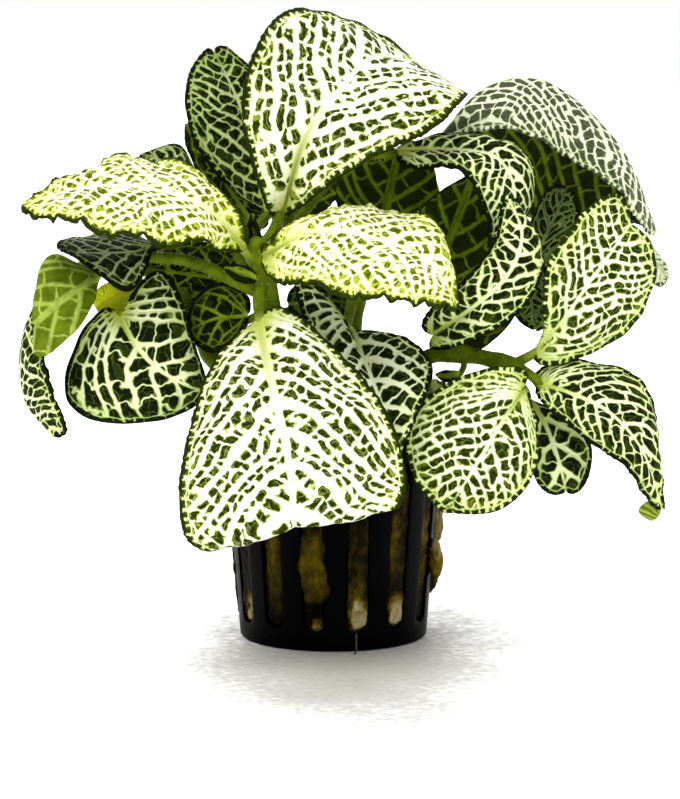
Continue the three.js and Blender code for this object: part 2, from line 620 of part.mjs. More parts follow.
// A long slot with round ends, from low to high along its own Y, pushed through along its own Z
function slotShape(width, low, high, depth) {
  const radius = width / 2;
  const outline = new THREE.Shape();
  outline.absarc(0, high - radius, radius, 0, Math.PI);
  outline.absarc(0, low + radius, radius, Math.PI, 2 * Math.PI);
  return new THREE.ExtrudeGeometry(outline, { depth, bevelEnabled: false, curveSegments: 3 });
}

// Turns something that faces -Y to a bearing round the pot, in degrees to the right of the front
const atBearing = (geometry, degrees) => geometry.rotateZ(THREE.MathUtils.degToRad(degrees));

const wallLean = Math.atan2(TOP_RADIUS - BASE_RADIUS, POT_HEIGHT);
const outerRadius = (z) => BASE_RADIUS + ((TOP_RADIUS - BASE_RADIUS) * z) / POT_HEIGHT;
const slotBearings = Array.from({ length: SLOT_COUNT }, (_, i) => SLOT_FIRST_DEG + (i * 360) / SLOT_COUNT);

function potSolid() {
  const rimFoot = POT_HEIGHT - RIM_HEIGHT;
  let pot = solidFrom(turned([
    [0, 0],
    [BASE_RADIUS - BASE_EDGE, 0],
    [outerRadius(BASE_EDGE), BASE_EDGE],
    [outerRadius(rimFoot), rimFoot],
    [RIM_RADIUS, rimFoot + RIM_ROUND],
    [RIM_RADIUS, POT_HEIGHT - RIM_ROUND],
    [RIM_RADIUS - RIM_ROUND, POT_HEIGHT],
    [outerRadius(POT_HEIGHT) - WALL, POT_HEIGHT],
    [outerRadius(WALL) - WALL, WALL],
    [0, WALL],
  ]));
  const reach = RIM_RADIUS + 2;
  for (const bearing of slotBearings) {
    const slot = slotShape(SLOT_WIDTH, SLOT_LOW, SLOT_HIGH, reach).rotateX(Math.PI / 2);
    pot = pot.subtract(solidFrom(atBearing(slot, bearing)));
  }
  for (let i = 0; i < DRAIN_COUNT; i += 1) {
    const drain = slotShape(DRAIN_WIDTH, DRAIN_INNER, DRAIN_OUTER, 2 * WALL + 2).translate(0, 0, -1);
    pot = pot.subtract(solidFrom(atBearing(drain, (i * 360) / DRAIN_COUNT)));
  }
  return pot;
}

function tubeAlong(points, radius, sides, step) {
  const path = curveThrough(points);
  const outline = new THREE.Shape();
  for (let i = 0; i < sides; i += 1) {
    const angle = (2 * Math.PI * i) / sides;
    const corner = [radius * Math.cos(angle), radius * Math.sin(angle)];
    if (i === 0) {
      outline.moveTo(...corner);
    } else {
      outline.lineTo(...corner);
    }
  }
  const steps = Math.max(2, Math.round(path.getLength() / step));
  return solidFrom(new THREE.ExtrudeGeometry(outline, { extrudePath: path, steps, bevelEnabled: false }));
}

// A stem, or the room that it takes with some clearance all round and past both ends
function stemSolid(stem, clearance) {
  const points = stem.points.map(vector);
  const last = points.length - 1;
  const foot = points[0].clone().sub(points[1]).setLength(clearance);
  const head = points[last].clone().sub(points[last - 1]).setLength(clearance);
  points[0].add(foot);
  points[last].add(head);
  return tubeAlong(points, stem.radius + clearance, STEM_SIDES, STEM_STEP);
}

// Where wool spills out of a slot, how far it stands out, and between which heights
const spills = [
  { slot: 13, out: 2.3, low: 7, high: 27 },
  { slot: 3, out: 1.9, low: 20, high: 32 },
  { slot: 3, out: 1.6, low: 9, high: 17 },
  { slot: 0, out: 0.9, low: 6, high: 34 },
  { slot: 8, out: 1.4, low: 12, high: 30 },
];

function plugSolid() {
  const seat = WALL + CLEARANCE;
  const inner = (z) => outerRadius(z) - WALL - CLEARANCE;
  let plug = solidFrom(turned([
    [0, seat],
    [inner(seat), seat],
    [inner(PLUG_TOP - PLUG_SHOULDER), PLUG_TOP - PLUG_SHOULDER],
    [inner(PLUG_TOP) - PLUG_SHOULDER, PLUG_TOP],
    [inner(PLUG_TOP) / 2, PLUG_TOP + 0.7 * PLUG_CROWN],
    [0, PLUG_TOP + PLUG_CROWN],
  ]));
  slotBearings.forEach((bearing, i) => {
    const bulge = 0.5 * Math.sin(5 * i + 1) - 0.2;
    const low = SLOT_LOW + CLEARANCE + TUFT_DROP;
    const high = SLOT_HIGH - CLEARANCE;
    const tuft = slotShape(TUFT_WIDTH, low, high, TUFT_DEPTH).rotateX(Math.PI / 2);
    tuft.translate(0, TUFT_DEPTH - BASE_RADIUS - bulge, 0).rotateX(wallLean);
    plug = plug.add(solidFrom(atBearing(tuft, bearing)));
  });
  for (const { slot, out, low, high } of spills) {
    const spill = new THREE.SphereGeometry(1, 8, 7).rotateX(Math.PI / 2);
    spill.scale(TUFT_WIDTH / 2 - 0.1, out + SPILL_DEPTH, (high - low) / 2);
    spill.translate(0, SPILL_DEPTH - outerRadius((low + high) / 2), (low + high) / 2);
    plug = plug.add(solidFrom(atBearing(spill, slotBearings[slot])));
  }
  for (const stem of Object.values(stems)) {
    plug = plug.subtract(stemSolid(stem, CLEARANCE));
  }
  return plug;
}

// How wide a blade is along its length, as a share of its greatest width
const profilePeak = BASE_FULLNESS / (BASE_FULLNESS + TIP_FULLNESS);
const rawProfile = (u) => u ** BASE_FULLNESS * (1 - u) ** TIP_FULLNESS;
const profile = (u) => rawProfile(u) / rawProfile(profilePeak);

// The arms that reach from midrib to margin, as a quadratic through the three measured margin points
function armsTo(margin, rib) {
  const arms = margin.map((point, i) => {
    const station = MARGIN_STATIONS[i];
    return vector(point).sub(rib.getPoint(station)).divideScalar(profile(station));
  });
  return (u) => {
    const t = (u - MARGIN_STATIONS[1]) / (MARGIN_STATIONS[2] - MARGIN_STATIONS[1]);
    const weights = [(t * (t - 1)) / 2, 1 - t * t, (t * (t + 1)) / 2];
    const arm = new THREE.Vector3();
    arms.forEach((one, i) => arm.addScaledVector(one, weights[i]));
    return arm;
  };
}

// The middle sheet of a blade: u runs from base to tip, v from the left margin at -1 to the right one at 1
function bladeSheet(leaf) {
  const rib = curveThrough(leaf.rib.map(vector));
  const leftArm = armsTo(leaf.left, rib);
  const rightArm = armsTo(leaf.right, rib);
  const flat = (u, v) => {
    const arm = v < 0 ? leftArm(u) : rightArm(u);
    return rib.getPoint(u).addScaledVector(arm, Math.abs(v) * profile(u));
  };
  const normal = (u, v) => {
    const [u0, u1] = [Math.max(u - 0.02, 0.002), Math.min(u + 0.02, 0.998)];
    const [v0, v1] = [Math.max(v - 0.25, -1), Math.min(v + 0.25, 1)];
    const along = flat(u1, v).sub(flat(u0, v));
    const across = flat(u, v1).sub(flat(u, v0));
    return across.cross(along).normalize();
  };
  const [waveHeight, waveCount, wavePhase] = leaf.wave;
  const point = (u, v) => {
    const swell = leaf.bulge * Math.sin(Math.PI * Math.abs(v)) * (4 * u * (1 - u)) ** 0.7;
    const turns = waveCount * u + wavePhase + (v < 0 ? LEFT_WAVE_LAG : 0);
    const ripple = waveHeight * v * v * Math.sin(2 * Math.PI * turns);
    return flat(u, v).addScaledVector(normal(u, v), swell + ripple);
  };
  return { rib, normal, point };
}

function bladeSolid(leaf, sheet) {
  const length = sheet.rib.getLength();
  const width = sheet.point(0.5, 1).distanceTo(sheet.point(0.5, -1));
  const rows = THREE.MathUtils.clamp(Math.round(length / ROW_SPACING), 5, 13);
  const cols = 2 * THREE.MathUtils.clamp(Math.round(width / COLUMN_SPACING), 2, 4);
  const across = cols + 1;
  const skin = (rows + 1) * across;
  const positions = [];
  for (const side of [0.5, -0.5]) {
    for (let i = 0; i <= rows; i += 1) {
      const u = THREE.MathUtils.lerp(BLADE_END, 1 - BLADE_END, (1 - Math.cos((Math.PI * i) / rows)) / 2);
      for (let j = 0; j <= cols; j += 1) {
        const v = -1 + (2 * j) / cols;
        const point = sheet.point(u, v).addScaledVector(sheet.normal(u, v), side * BLADE_THICKNESS);
        positions.push(point.x, point.y, point.z);
      }
    }
  }
  const index = [];
  const border = [];
  for (let i = 0; i < rows; i += 1) {
    for (let j = 0; j < cols; j += 1) {
      const a = i * across + j;
      const [b, c, d] = [a + 1, a + across, a + across + 1];
      index.push(a, c, b, b, c, d);
      index.push(skin + a, skin + b, skin + c, skin + b, skin + d, skin + c);
    }
  }
  for (let j = 0; j < cols; j += 1) {
    border.push([j, j + 1]);
    border.push([rows * across + j + 1, rows * across + j]);
  }
  for (let i = 0; i < rows; i += 1) {
    border.push([(i + 1) * across, i * across]);
    border.push([i * across + cols, (i + 1) * across + cols]);
  }
  for (const [a, b] of border) {
    index.push(a, b, skin + a, b, skin + b, skin + a);
  }
  const geometry = new THREE.BufferGeometry();
  geometry.setAttribute('position', new THREE.Float32BufferAttribute(positions, 3));
  geometry.setIndex(index);
  return solidFrom(geometry);
}

// The stalk comes up from under the blade and runs on below its midrib for a short way
function leafSolid(leaf) {
  const sheet = bladeSheet(leaf);
  const root = sheet.rib.getPoint(0);
  const sunk = sheet.rib.getPoint(STALK_SINK);
  sunk.addScaledVector(sheet.normal(STALK_SINK, 0), -STALK_LAY * leaf.stalk);
  const stalk = tubeAlong([...leaf.petiole.map(vector), root, sunk], leaf.stalk, STALK_SIDES, ROW_SPACING);
  return bladeSolid(leaf, sheet).add(stalk).subtract(stemSolid(stems[leaf.stem], CLEARANCE));
}

addPiece('net_pot', potSolid(), 0x08080a, 0.25);
addPiece('rock_wool_plug', plugSolid(), 0x6b5210, 0.95);
for (const [name, stem] of Object.entries(stems)) {
  addPiece(name, stemSolid(stem, 0), 0x6f8a14, 0.6);
}
for (const [name, leaf] of Object.entries(leaves)) {
  addPiece(name, leafSolid(leaf), netColours[leaf.net], 0.55);
}

export default plant;
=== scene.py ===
# %% [markdown]
# # A potted nerve plant
# A nerve plant is a creeping foliage plant sold in a small slotted pot. Its soft shoots carry pairs of oval
# leaves, and each leaf wears a net of white or pale green veins. This lesson dresses the measured model of
# such a plant: the pot, the wet rock wool, the hairy stems, and above all the leaves with their nets. The
# frame comes first. It holds the plain solids at their true size, and nothing here moves them.

# %% Load the fixed frame
import math

import bpy
import numpy as np
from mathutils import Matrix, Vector


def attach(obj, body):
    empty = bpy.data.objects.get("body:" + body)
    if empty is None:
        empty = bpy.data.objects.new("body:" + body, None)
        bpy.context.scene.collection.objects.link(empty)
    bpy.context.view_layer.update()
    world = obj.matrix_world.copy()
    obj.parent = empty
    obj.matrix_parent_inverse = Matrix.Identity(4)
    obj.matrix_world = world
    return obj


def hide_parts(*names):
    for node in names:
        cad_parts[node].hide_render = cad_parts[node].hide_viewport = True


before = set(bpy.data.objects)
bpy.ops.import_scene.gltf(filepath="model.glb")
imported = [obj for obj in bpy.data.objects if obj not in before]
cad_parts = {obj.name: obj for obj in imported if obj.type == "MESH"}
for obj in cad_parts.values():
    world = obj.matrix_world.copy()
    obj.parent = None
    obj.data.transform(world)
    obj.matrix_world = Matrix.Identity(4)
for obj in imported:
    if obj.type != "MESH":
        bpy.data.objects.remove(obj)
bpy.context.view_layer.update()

MM = 0.001

# %% [markdown]
# ## Where the viewer stands
# The plant was looked at from a little above the height of its leaves, from far enough away that the
# perspective is weak. A long lens does that. The camera is turned so that it looks straight at a point in the
# middle of the plant, and its focal length sets how large the plant stands in a frame 680 wide and 799 high.

# %% Camera
TARGET = Vector((1.5, 0.0, 53.6)) * MM
CAMERA_DISTANCE = 900 * MM
CAMERA_ELEVATION = math.radians(8)
FRAME_HEIGHT = 799
FOCAL_IN_PIXELS = 4004
back = Vector((0, -math.cos(CAMERA_ELEVATION), math.sin(CAMERA_ELEVATION)))
bpy.ops.object.camera_add(
    location=TARGET + back * CAMERA_DISTANCE,
    rotation=(math.pi / 2 - CAMERA_ELEVATION, 0, 0),
)
camera = bpy.context.object
camera.name = "camera"
camera.data.lens = FOCAL_IN_PIXELS / FRAME_HEIGHT * camera.data.sensor_width
bpy.context.scene.camera = camera
print("lens, mm:", round(camera.data.lens, 1))

# %% [markdown]
# ## A white room
# The picture is bright: white all round, with soft light from above and a little from the left. An even white
# world gives the white background and fills the shadows. A sun with a wide disc comes over the viewer's left
# shoulder and gives the leaves their shape. The standard view keeps white white, and the dark cells dark.

# %% Light
SUN_FROM = Vector((-0.30, -0.42, 1.0))
SUN_STRENGTH = 1.3
SUN_DISC = math.radians(35)
bpy.ops.object.light_add(type="SUN", location=TARGET + SUN_FROM)
sun = bpy.context.object
sun.name = "soft_sun"
sun.rotation_euler = SUN_FROM.to_track_quat("Z", "Y").to_euler()
sun.data.energy = SUN_STRENGTH
sun.data.angle = SUN_DISC

world = bpy.data.worlds.new("white_room")
world.use_nodes = True
sky = world.node_tree.nodes["Background"]
sky.inputs["Color"].default_value = (1, 1, 1, 1)
sky.inputs["Strength"].default_value = 1.0
bpy.context.scene.world = world
bpy.context.scene.view_settings.view_transform = "Standard"

# %% [markdown]
# ## Small tools for the bench
# Every operator works on what is selected, and loading the frame leaves its nodes selected, so each piece
# starts by clearing the selection. A finished piece rides on the one body and stands for its plain solid.

# %% Bench tools
def clear_selection():
    """Nothing selected, and nothing in edit mode."""
    if bpy.context.object and bpy.context.object.mode != "OBJECT":
        bpy.ops.object.mode_set(mode="OBJECT")
    bpy.ops.object.select_all(action="DESELECT")


def select_only(*pieces):
    """Selects these pieces, with the first one active."""
    clear_selection()
    for piece in pieces:
        piece.select_set(True)
    bpy.context.view_layer.objects.active = pieces[0]


def apply_modifier(piece, kind, **settings):
    """Adds one modifier, sets it and applies it."""
    select_only(piece)
    modifier = piece.modifiers.new(kind.lower(), kind)
    for name, value in settings.items():
        setattr(modifier, name, value)
    bpy.ops.object.modifier_apply(modifier=modifier.name)


def apply_place(piece):
    """Puts a piece's place, turn and scale into its mesh."""
    select_only(piece)
    bpy.ops.object.transform_apply(location=True, rotation=True, scale=True)


def put_in_scene(name, mesh):
    """A new object made of this mesh."""
    piece = bpy.data.objects.new(name, mesh)
    bpy.context.collection.objects.link(piece)
    return piece


def points_of(mesh):
    """The points of a mesh, one to a row."""
    flat = np.empty(len(mesh.vertices) * 3)
    mesh.vertices.foreach_get("co", flat)
    return flat.reshape(-1, 3)


def corners_of(mesh):
    """The number of the point at each corner of each face."""
    corner = np.empty(len(mesh.loops), int)
    mesh.loops.foreach_get("vertex_index", corner)
    return corner


def hand_over(piece, name, nodes):
    """Names a finished piece, ties it to the plant, and says which solids it stands for."""
    piece.name = piece.data.name = name
    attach(piece, "root")
    if nodes:
        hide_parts(*nodes)
    piece.data.calc_loop_triangles()
    print(f"{name}: {len(piece.data.loop_triangles)} triangles")


# %% [markdown]
# ## Wiring a material
# The finishes below are built from many small sums. A number that changes over a surface is an output of
# some node, and each step of a sum is one more Math node. The class Amount does this wiring. It holds such an
# output, so that a sum written in Python adds the nodes for it. It can also be turned into a fall from 1 to 0
# or into colours. What is the same all over a surface is set on the shader itself.

# %% Material tools
class Amount:
    """A number that changes over a surface, as an output of a node."""

    def __init__(self, output):
        self.output = output

    def math(self, operation, *others):
        """This amount and the others through one Math node."""
        return math_node(self.output.id_data, operation, self, *others)

    def __add__(self, other):
        return self.math("ADD", other)

    def __sub__(self, other):
        return self.math("SUBTRACT", other)

    def __rsub__(self, other):
        return math_node(self.output.id_data, "SUBTRACT", other, self)

    def __mul__(self, other):
        return self.math("MULTIPLY", other)

    def __truediv__(self, other):
        return self.math("DIVIDE", other)

    def remap(self, start, end, first, last):
        """First where this amount is at start, last where it is at end, and an even change between."""
        node = self.output.id_data.nodes.new("ShaderNodeMapRange")
        ends = {"From Min": start, "From Max": end, "To Min": first, "To Max": last}
        for name, value in {"Value": self, **ends}.items():
            wire(value, node.inputs[name])
        return Amount(node.outputs["Result"])

    def fade(self, start, end):
        """1 where this amount is at start, 0 where it is at end, and a straight fall between."""
        return self.remap(start, end, 1.0, 0.0)

    def colours(self, *stops):
        """A colour ramp over (place, colour) stops."""
        node = self.output.id_data.nodes.new("ShaderNodeValToRGB")
        wire(self, node.inputs["Fac"])
        elements = node.color_ramp.elements
        while len(elements) < len(stops):
            elements.new(0.5)
        for element, (place, colour) in zip(elements, stops):
            element.position = place
            element.color = (*colour, 1)
        return node.outputs["Color"]


def wire(value, socket):
    """Links value to socket if it comes out of a node, or else stores it there."""
    value = value.output if isinstance(value, Amount) else value
    if isinstance(value, bpy.types.NodeSocket):
        socket.id_data.links.new(value, socket)
    else:
        socket.default_value = value


def math_node(tree, operation, *values):
    """One Math node over amounts and plain numbers."""
    node = tree.nodes.new("ShaderNodeMath")
    node.operation = operation
    for value, socket in zip(values, node.inputs):
        wire(value, socket)
    return Amount(node.outputs[0])


def axes(tree, vector):
    """A vector's X, Y and Z."""
    split = tree.nodes.new("ShaderNodeSeparateXYZ")
    wire(vector, split.inputs["Vector"])
    return [Amount(split.outputs[axis]) for axis in "XYZ"]


def object_place(tree):
    """Where a point is in its object, in metres."""
    return tree.nodes.new("ShaderNodeTexCoord").outputs["Object"]


def noise_node(tree, size_mm, detail, vector=None):
    """A Noise node whose lumps are about size_mm across."""
    node = tree.nodes.new("ShaderNodeTexNoise")
    node.inputs["Scale"].default_value = 1 / (size_mm * MM)
    node.inputs["Detail"].default_value = detail
    wire(object_place(tree) if vector is None else vector, node.inputs["Vector"])
    return node


def noise(tree, size_mm, detail=2.0, vector=None):
    """An amount from 0 to 1 that comes and goes in lumps about size_mm across."""
    return Amount(noise_node(tree, size_mm, detail, vector).outputs["Fac"])


def offsets(tree, size_mm, detail=2.0):
    """Three independent amounts from -0.5 to 0.5, all out of one Noise node."""
    split = tree.nodes.new("ShaderNodeSeparateColor")
    wire(noise_node(tree, size_mm, detail).outputs["Color"], split.inputs["Color"])
    return [Amount(split.outputs[channel]) - 0.5 for channel in ("Red", "Green", "Blue")]


def blend_colours(tree, share, first, second, kind="MIX"):
    """The first colour where share is 0, and the second, or the kind of mix with it, where it is 1."""
    node = tree.nodes.new("ShaderNodeMix")
    node.data_type = "RGBA"
    node.blend_type = kind
    wire(share, node.inputs["Factor"])
    for colour, socket in ((first, node.inputs["A"]), (second, node.inputs["B"])):
        wire((*colour, 1) if isinstance(colour, tuple) else colour, socket)
    return node.outputs["Result"]


def new_material(name):
    """A material with a Principled shader, and its node tree."""
    material = bpy.data.materials.new(name)
    material.use_nodes = True
    tree = material.node_tree
    return material, tree, tree.nodes["Principled BSDF"]


def coat(shader, colour, roughness, gloss=0.5):
    """The shader's colour and roughness, and how strongly it mirrors."""
    wire(colour, shader.inputs["Base Color"])
    wire(roughness, shader.inputs["Roughness"])
    wire(gloss, shader.inputs["Specular IOR Level"])


def bump(shader, height, depth_mm, strength):
    """Raises the shader's surface by height, where 1 stands for depth_mm."""
    node = shader.id_data.nodes.new("ShaderNodeBump")
    node.inputs["Distance"].default_value = depth_mm * MM
    node.inputs["Strength"].default_value = strength
    wire(height, node.inputs["Height"])
    wire(node.outputs["Normal"], shader.inputs["Normal"])


# %% [markdown]
# ## The leaves, as measured
# Each leaf was measured on the plant, in millimetres: five points along its midrib from base to tip, three
# on either margin, and the path of its stalk. They stand in the order midrib, left, right, stalk, where left
# and right are as seen from above the leaf with its tip pointing away. The wave is the margin's height, its
# count along the leaf and its phase. The bulge is how far each half swells, and the number named stalk is
# the stalk's radius. The net names the kind of veining: young crown leaves are nearly all white, older ones
# show a thin net on dark green. The deep and dim nets are painted shade, darkened for leaves that sit in the
# shade inside and behind the plant; the grey net is partly painted sheen, and the yellow one is partly
# painted light shining through its leaf. One leaf hangs in the light with its underside to the front, which
# is noted as its side below and takes the lit underside of painted light, and one has a curled tip, given by
# its centre.

# %% The leaf table
def measured(rib, left, right, petiole, **form):
    """One leaf of the table, as a dictionary."""
    return {"rib": rib, "left": left, "right": right, "petiole": petiole, **form}


LEAVES = {}
LEAVES["leaf_top"] = measured(
    ((-11, 0, 96.8), (-6.3, -4, 112.3), (0.6, 0, 122), (9.1, 11, 129.8), (18.7, 27, 127.8)),
    ((-18, -7, 105.4), (-19.5, -6, 126.6), (-7.2, 9, 141.1)),
    ((0.2, -8, 103.1), (18.7, -8, 113), (29.7, 7, 120.6)),
    ((-16, -8, 88.8), (-13.4, -5, 92.1)),
    wave=(0.7, 2.5, 0.3), bulge=1.6, stalk=1.2, net="crown",
)
LEAVES["leaf_left"] = measured(
    ((-19.3, -9, 88.3), (-28.2, -13, 98), (-40.2, -15, 102.3), (-53.3, -16, 102.9), (-68.4, -17, 99)),
    ((-29, -22, 90.3), (-41.1, -30, 92), (-56.3, -27, 95.4)),
    ((-26.4, -5, 103.2), (-43.1, 1, 108.1), (-56.9, -7, 105.2)),
    ((-15.8, -8, 84.2), (-17.5, -9, 86.1)),
    wave=(1.3, 3.5, 0.1), bulge=1.5, stalk=1.3, net="pale",
)
LEAVES["leaf_right"] = measured(
    ((-15.7, -11, 87.2), (-3.3, -15, 93.1), (8.5, -18, 91.8), (20.1, -20, 87.2), (27.3, -21, 77.2)),
    ((-7.8, -9, 95.2), (9.1, -3, 97.1), (23.6, -9, 93.2)),
    ((-7.2, -22, 81.5), (6.3, -31, 79.5), (20.6, -29, 77.9)),
    ((-15.8, -8, 86.8),),
    wave=(1, 3, 0.6), bulge=1.8, stalk=1.3, net="pale",
)
LEAVES["leaf_front"] = measured(
    ((-16.6, -16, 73.5), (-12.8, -34, 60), (-9.2, -45, 45.3), (-8.3, -47, 33.3), (-8.2, -36, 33.2)),
    ((-1.8, -21, 70.6), (12.5, -35, 54), (14.8, -42, 37.7)),
    ((-26.1, -23, 64.7), (-32.4, -38, 46.6), (-30.1, -44, 27.6)),
    ((-15.6, -8, 81.7), (-16.4, -13, 77.6)),
    wave=(0.7, 2.5, 0.8), bulge=2, stalk=1.4, net="white",
)
LEAVES["leaf_low_left"] = measured(
    ((-47.4, -8, 73.2), (-43.6, -13, 67.6), (-39.1, -16, 63.1), (-33.8, -17, 59.9), (-28.7, -16, 57.5)),
    ((-35.9, -6, 81.5), (-31.5, -11, 70.7), (-28.6, -14, 61)),
    ((-57.5, -7, 66.6), (-57.4, -14, 53.4), (-41.1, -16, 50.8)),
    ((-31.5, 1.5, 70.5), (-37.2, -1, 73.5), (-43.1, -4, 75.4)),
    wave=(0.5, 2.5, 0), bulge=1.6, stalk=1.2, net="dark",
)
LEAVES["leaf_far_left"] = measured(
    ((-51.7, -8, 82.4), (-55, -12, 80.6), (-58.8, -15, 78.3), (-62.3, -16, 75.5), (-65.7, -15, 72.1)),
    ((-56.7, -6, 85.3), (-63.2, -8, 86.4), (-65.9, -12, 79.7)),
    ((-53.2, -14, 76.8), (-56.5, -18, 71.5), (-63.2, -18, 65.8)),
    ((-34.2, 1.5, 76.2), (-41, -1, 79.4), (-48, -4, 81.7)),
    wave=(0.5, 2, 0.4), bulge=-0.8, stalk=1, net="dark", below="lit",
)
LEAVES["leaf_hanging_left"] = measured(
    ((-62.4, 4, 80.2), (-68.1, -1, 71.7), (-69.8, -6, 63.3), (-68.4, -12, 54.5), (-61.8, -18, 47.8)),
    ((-65.1, -2, 75), (-64.5, -12, 65.9), (-59.8, -20, 54.3)),
    ((-65.5, 10, 75), (-68, 8, 63.8), (-64.8, -3, 53.9)),
    ((-34.9, 2, 77.9), (-41.2, 3, 81.6), (-50.3, 6, 83.6), (-57.5, 6, 83.1)),
    wave=(0.5, 2, 0.2), bulge=1, stalk=0.9, net="slim",
)
LEAVES["leaf_under_left"] = measured(
    ((-39.9, -8, 88.4), (-44.5, -10, 87.9), (-49.2, -12, 87.9), (-54.4, -14, 88.1), (-60.1, -14, 88.8)),
    ((-40.8, -14, 84.8), (-45.6, -20, 80.6), (-53.6, -20, 85.5)),
    ((-43.3, 2, 90.3), (-51.6, 6, 90.8), (-59, -4, 90)),
    ((-14.9, -7, 77.8), (-21.8, -9, 81.4), (-31.3, -8, 85.5)),
    wave=(0.5, 2, 0.5), bulge=1, stalk=1.4, net="faint",
)
LEAVES["leaf_yellow"] = measured(
    ((-46.2, 4, 79.7), (-47.5, 3, 77.6), (-48.8, 2, 75.4), (-49.6, 1, 73.3), (-50.5, 0, 71.4)),
    ((-44.7, 6, 77.7), (-45.6, 6, 74.1), (-48, 3, 71.7)),
    ((-50.8, -2, 79.9), (-53.6, -4, 77.5), (-52.6, -2, 73.6)),
    ((-32.9, 2, 73.2), (-38.1, 5, 75.3), (-43, 7, 78)),
    wave=(0.3, 2, 0.5), bulge=0.6, stalk=0.9, net="yellow",
)
LEAVES["leaf_upper_left"] = measured(
    ((-14.7, 8, 95.1), (-17.5, 12, 105.4), (-20.5, 15, 116.5), (-23.7, 18, 123.8), (-27.1, 19, 130.5)),
    ((-25.6, 12, 102.5), (-33.2, 10, 116.4), (-32, 16, 127.3)),
    ((-9.8, 16, 104), (-13.3, 22, 117.2), (-20.6, 22, 128.5)),
    ((-16.4, -8, 88), (-17.9, 0, 89.4), (-17, 7, 92.1)),
    wave=(0.5, 2.5, 0.5), bulge=1.3, stalk=1.2, net="olive",
)
LEAVES["leaf_upper_left_back"] = measured(
    ((-17.1, 14, 90.9), (-21.8, 19, 96.4), (-26.4, 23, 102.5), (-30.6, 25, 108), (-33.7, 25, 113.8)),
    ((-22.2, 18, 93.1), (-29.8, 21, 101.3), (-33.8, 25, 108.7)),
    ((-16.4, 26, 96.7), (-21.6, 31, 107.3), (-28, 30, 113.2)),
    ((-16, -8, 85.3), (-18.9, 2, 86), (-18.6, 10, 88.6)),
    wave=(0.5, 2.5, 0), bulge=1, stalk=1.1, net="deep",
)
LEAVES["leaf_behind_left"] = measured(
    ((-28.6, 6, 97.8), (-33, 9, 102.3), (-36.9, 11, 105), (-40.3, 12, 106.8), (-43.6, 10, 107.8)),
    ((-32.1, 3, 100.1), (-36.1, 4, 102.3), (-41.1, 6, 105.2)),
    ((-30.7, 14, 102.1), (-34, 18, 108.3), (-39.3, 16, 109.2)),
    ((-15.2, -7, 81.6), (-19.5, 0, 82.9), (-24.4, 6, 90.6)),
    wave=(0.5, 2, 0), bulge=0.8, stalk=1.1, net="olive",
)
LEAVES["leaf_arching_right"] = measured(
    ((23.5, 24, 110.2), (35.1, 30, 122.1), (50.2, 34, 122.6), (66.4, 32, 108), (74.6, 26, 88.4)),
    ((34.7, 44, 102.8), (48.6, 48, 89.1), (65.1, 42, 88.2)),
    ((30.6, 20, 112.3), (46.8, 16, 110.8), (65.1, 16, 98)),
    ((24.3, 18, 88.3), (23.6, 26, 96.2), (22.1, 26, 104.3)),
    wave=(0.6, 2.5, 0.3), bulge=1.6, stalk=1.2, net="grey",
)
LEAVES["leaf_far_right"] = measured(
    ((68.7, 33, 88.6), (71, 33, 85.6), (73.3, 32, 82.4), (75.4, 31, 80), (77.2, 28, 77.8)),
    ((71.8, 37, 87.3), (75.3, 36, 83.2), (77.1, 32, 80.1)),
    ((68.8, 28, 85.2), (71.7, 26, 81), (74.3, 26, 76.8)),
    ((39.9, 20.5, 85), (47.6, 28, 87.3), (60.6, 33, 89.1)),
    wave=(0.4, 2, 0.3), bulge=0.8, stalk=1, net="grey",
)
LEAVES["leaf_curved"] = measured(
    ((14.5, 8, 109.1), (25.1, 8, 109.1), (36.1, 6, 107.7), (40.5, 3, 100.5), (38.9, 1, 91.1)),
    ((22.3, 12, 111.7), (39, 12, 111.1), (45.7, 9, 100)),
    ((19.6, 2, 105.6), (29.8, -1, 103.8), (33.8, -3, 93.5)),
    ((-16, -8, 86.6), (-12.1, -3, 87.9), (-8.6, 5, 92.5), (0.4, 9, 103.2), (8.3, 9, 107.7)),
    wave=(0.5, 2.5, 0.3), bulge=1.4, stalk=1.1, net="close",
)
LEAVES["leaf_middle_right"] = measured(
    ((22, -7, 68.9), (30.7, -12, 75.7), (38.5, -14, 83.3), (41.6, -12, 91.7), (38.9, -8, 99.5)),
    ((22.8, -9, 76.5), (31.6, -11, 84.5), (36.7, -9, 93.6)),
    ((30.2, -13, 68), (43.8, -14, 78.4), (45.1, -8, 92.2)),
    ((25.6, -5, 64.8), (24, -6, 66.7)),
    wave=(0.6, 2.5, 0.7), bulge=1.4, stalk=1.1, net="close",
)
LEAVES["leaf_right_upper"] = measured(
    ((44.6, -8, 65.4), (50.9, -11, 73.1), (55.9, -11, 80.3), (60.6, -9, 86.5), (66, -4, 93.6)),
    ((46.4, -12, 74.6), (47.6, -12, 85.9), (57.4, -6, 98.4)),
    ((56, -8, 64.3), (68.4, -4, 73), (71.8, -2, 84)),
    ((39.6, -7.2, 62.4), (42.4, -8, 63.8)),
    wave=(0.6, 2.5, 0.2), bulge=1.4, stalk=1.1, net="bright",
)
LEAVES["leaf_right_lower"] = measured(
    ((46.3, -11, 58.4), (52.8, -15, 56.9), (61.2, -18, 52.9), (68.2, -20, 44.5), (72.5, -18, 31.5)),
    ((51.9, -6, 62.9), (66.9, -9, 60.1), (72.6, -15, 44.4)),
    ((47.2, -16, 53.7), (56.8, -22, 47), (66.1, -23, 39)),
    ((42.4, -8, 61.2), (44.6, -10, 59.8)),
    wave=(0.8, 2.5, 0.5), bulge=1.4, stalk=1.1, net="close", curl=(70, -17.5, 31.3),
)
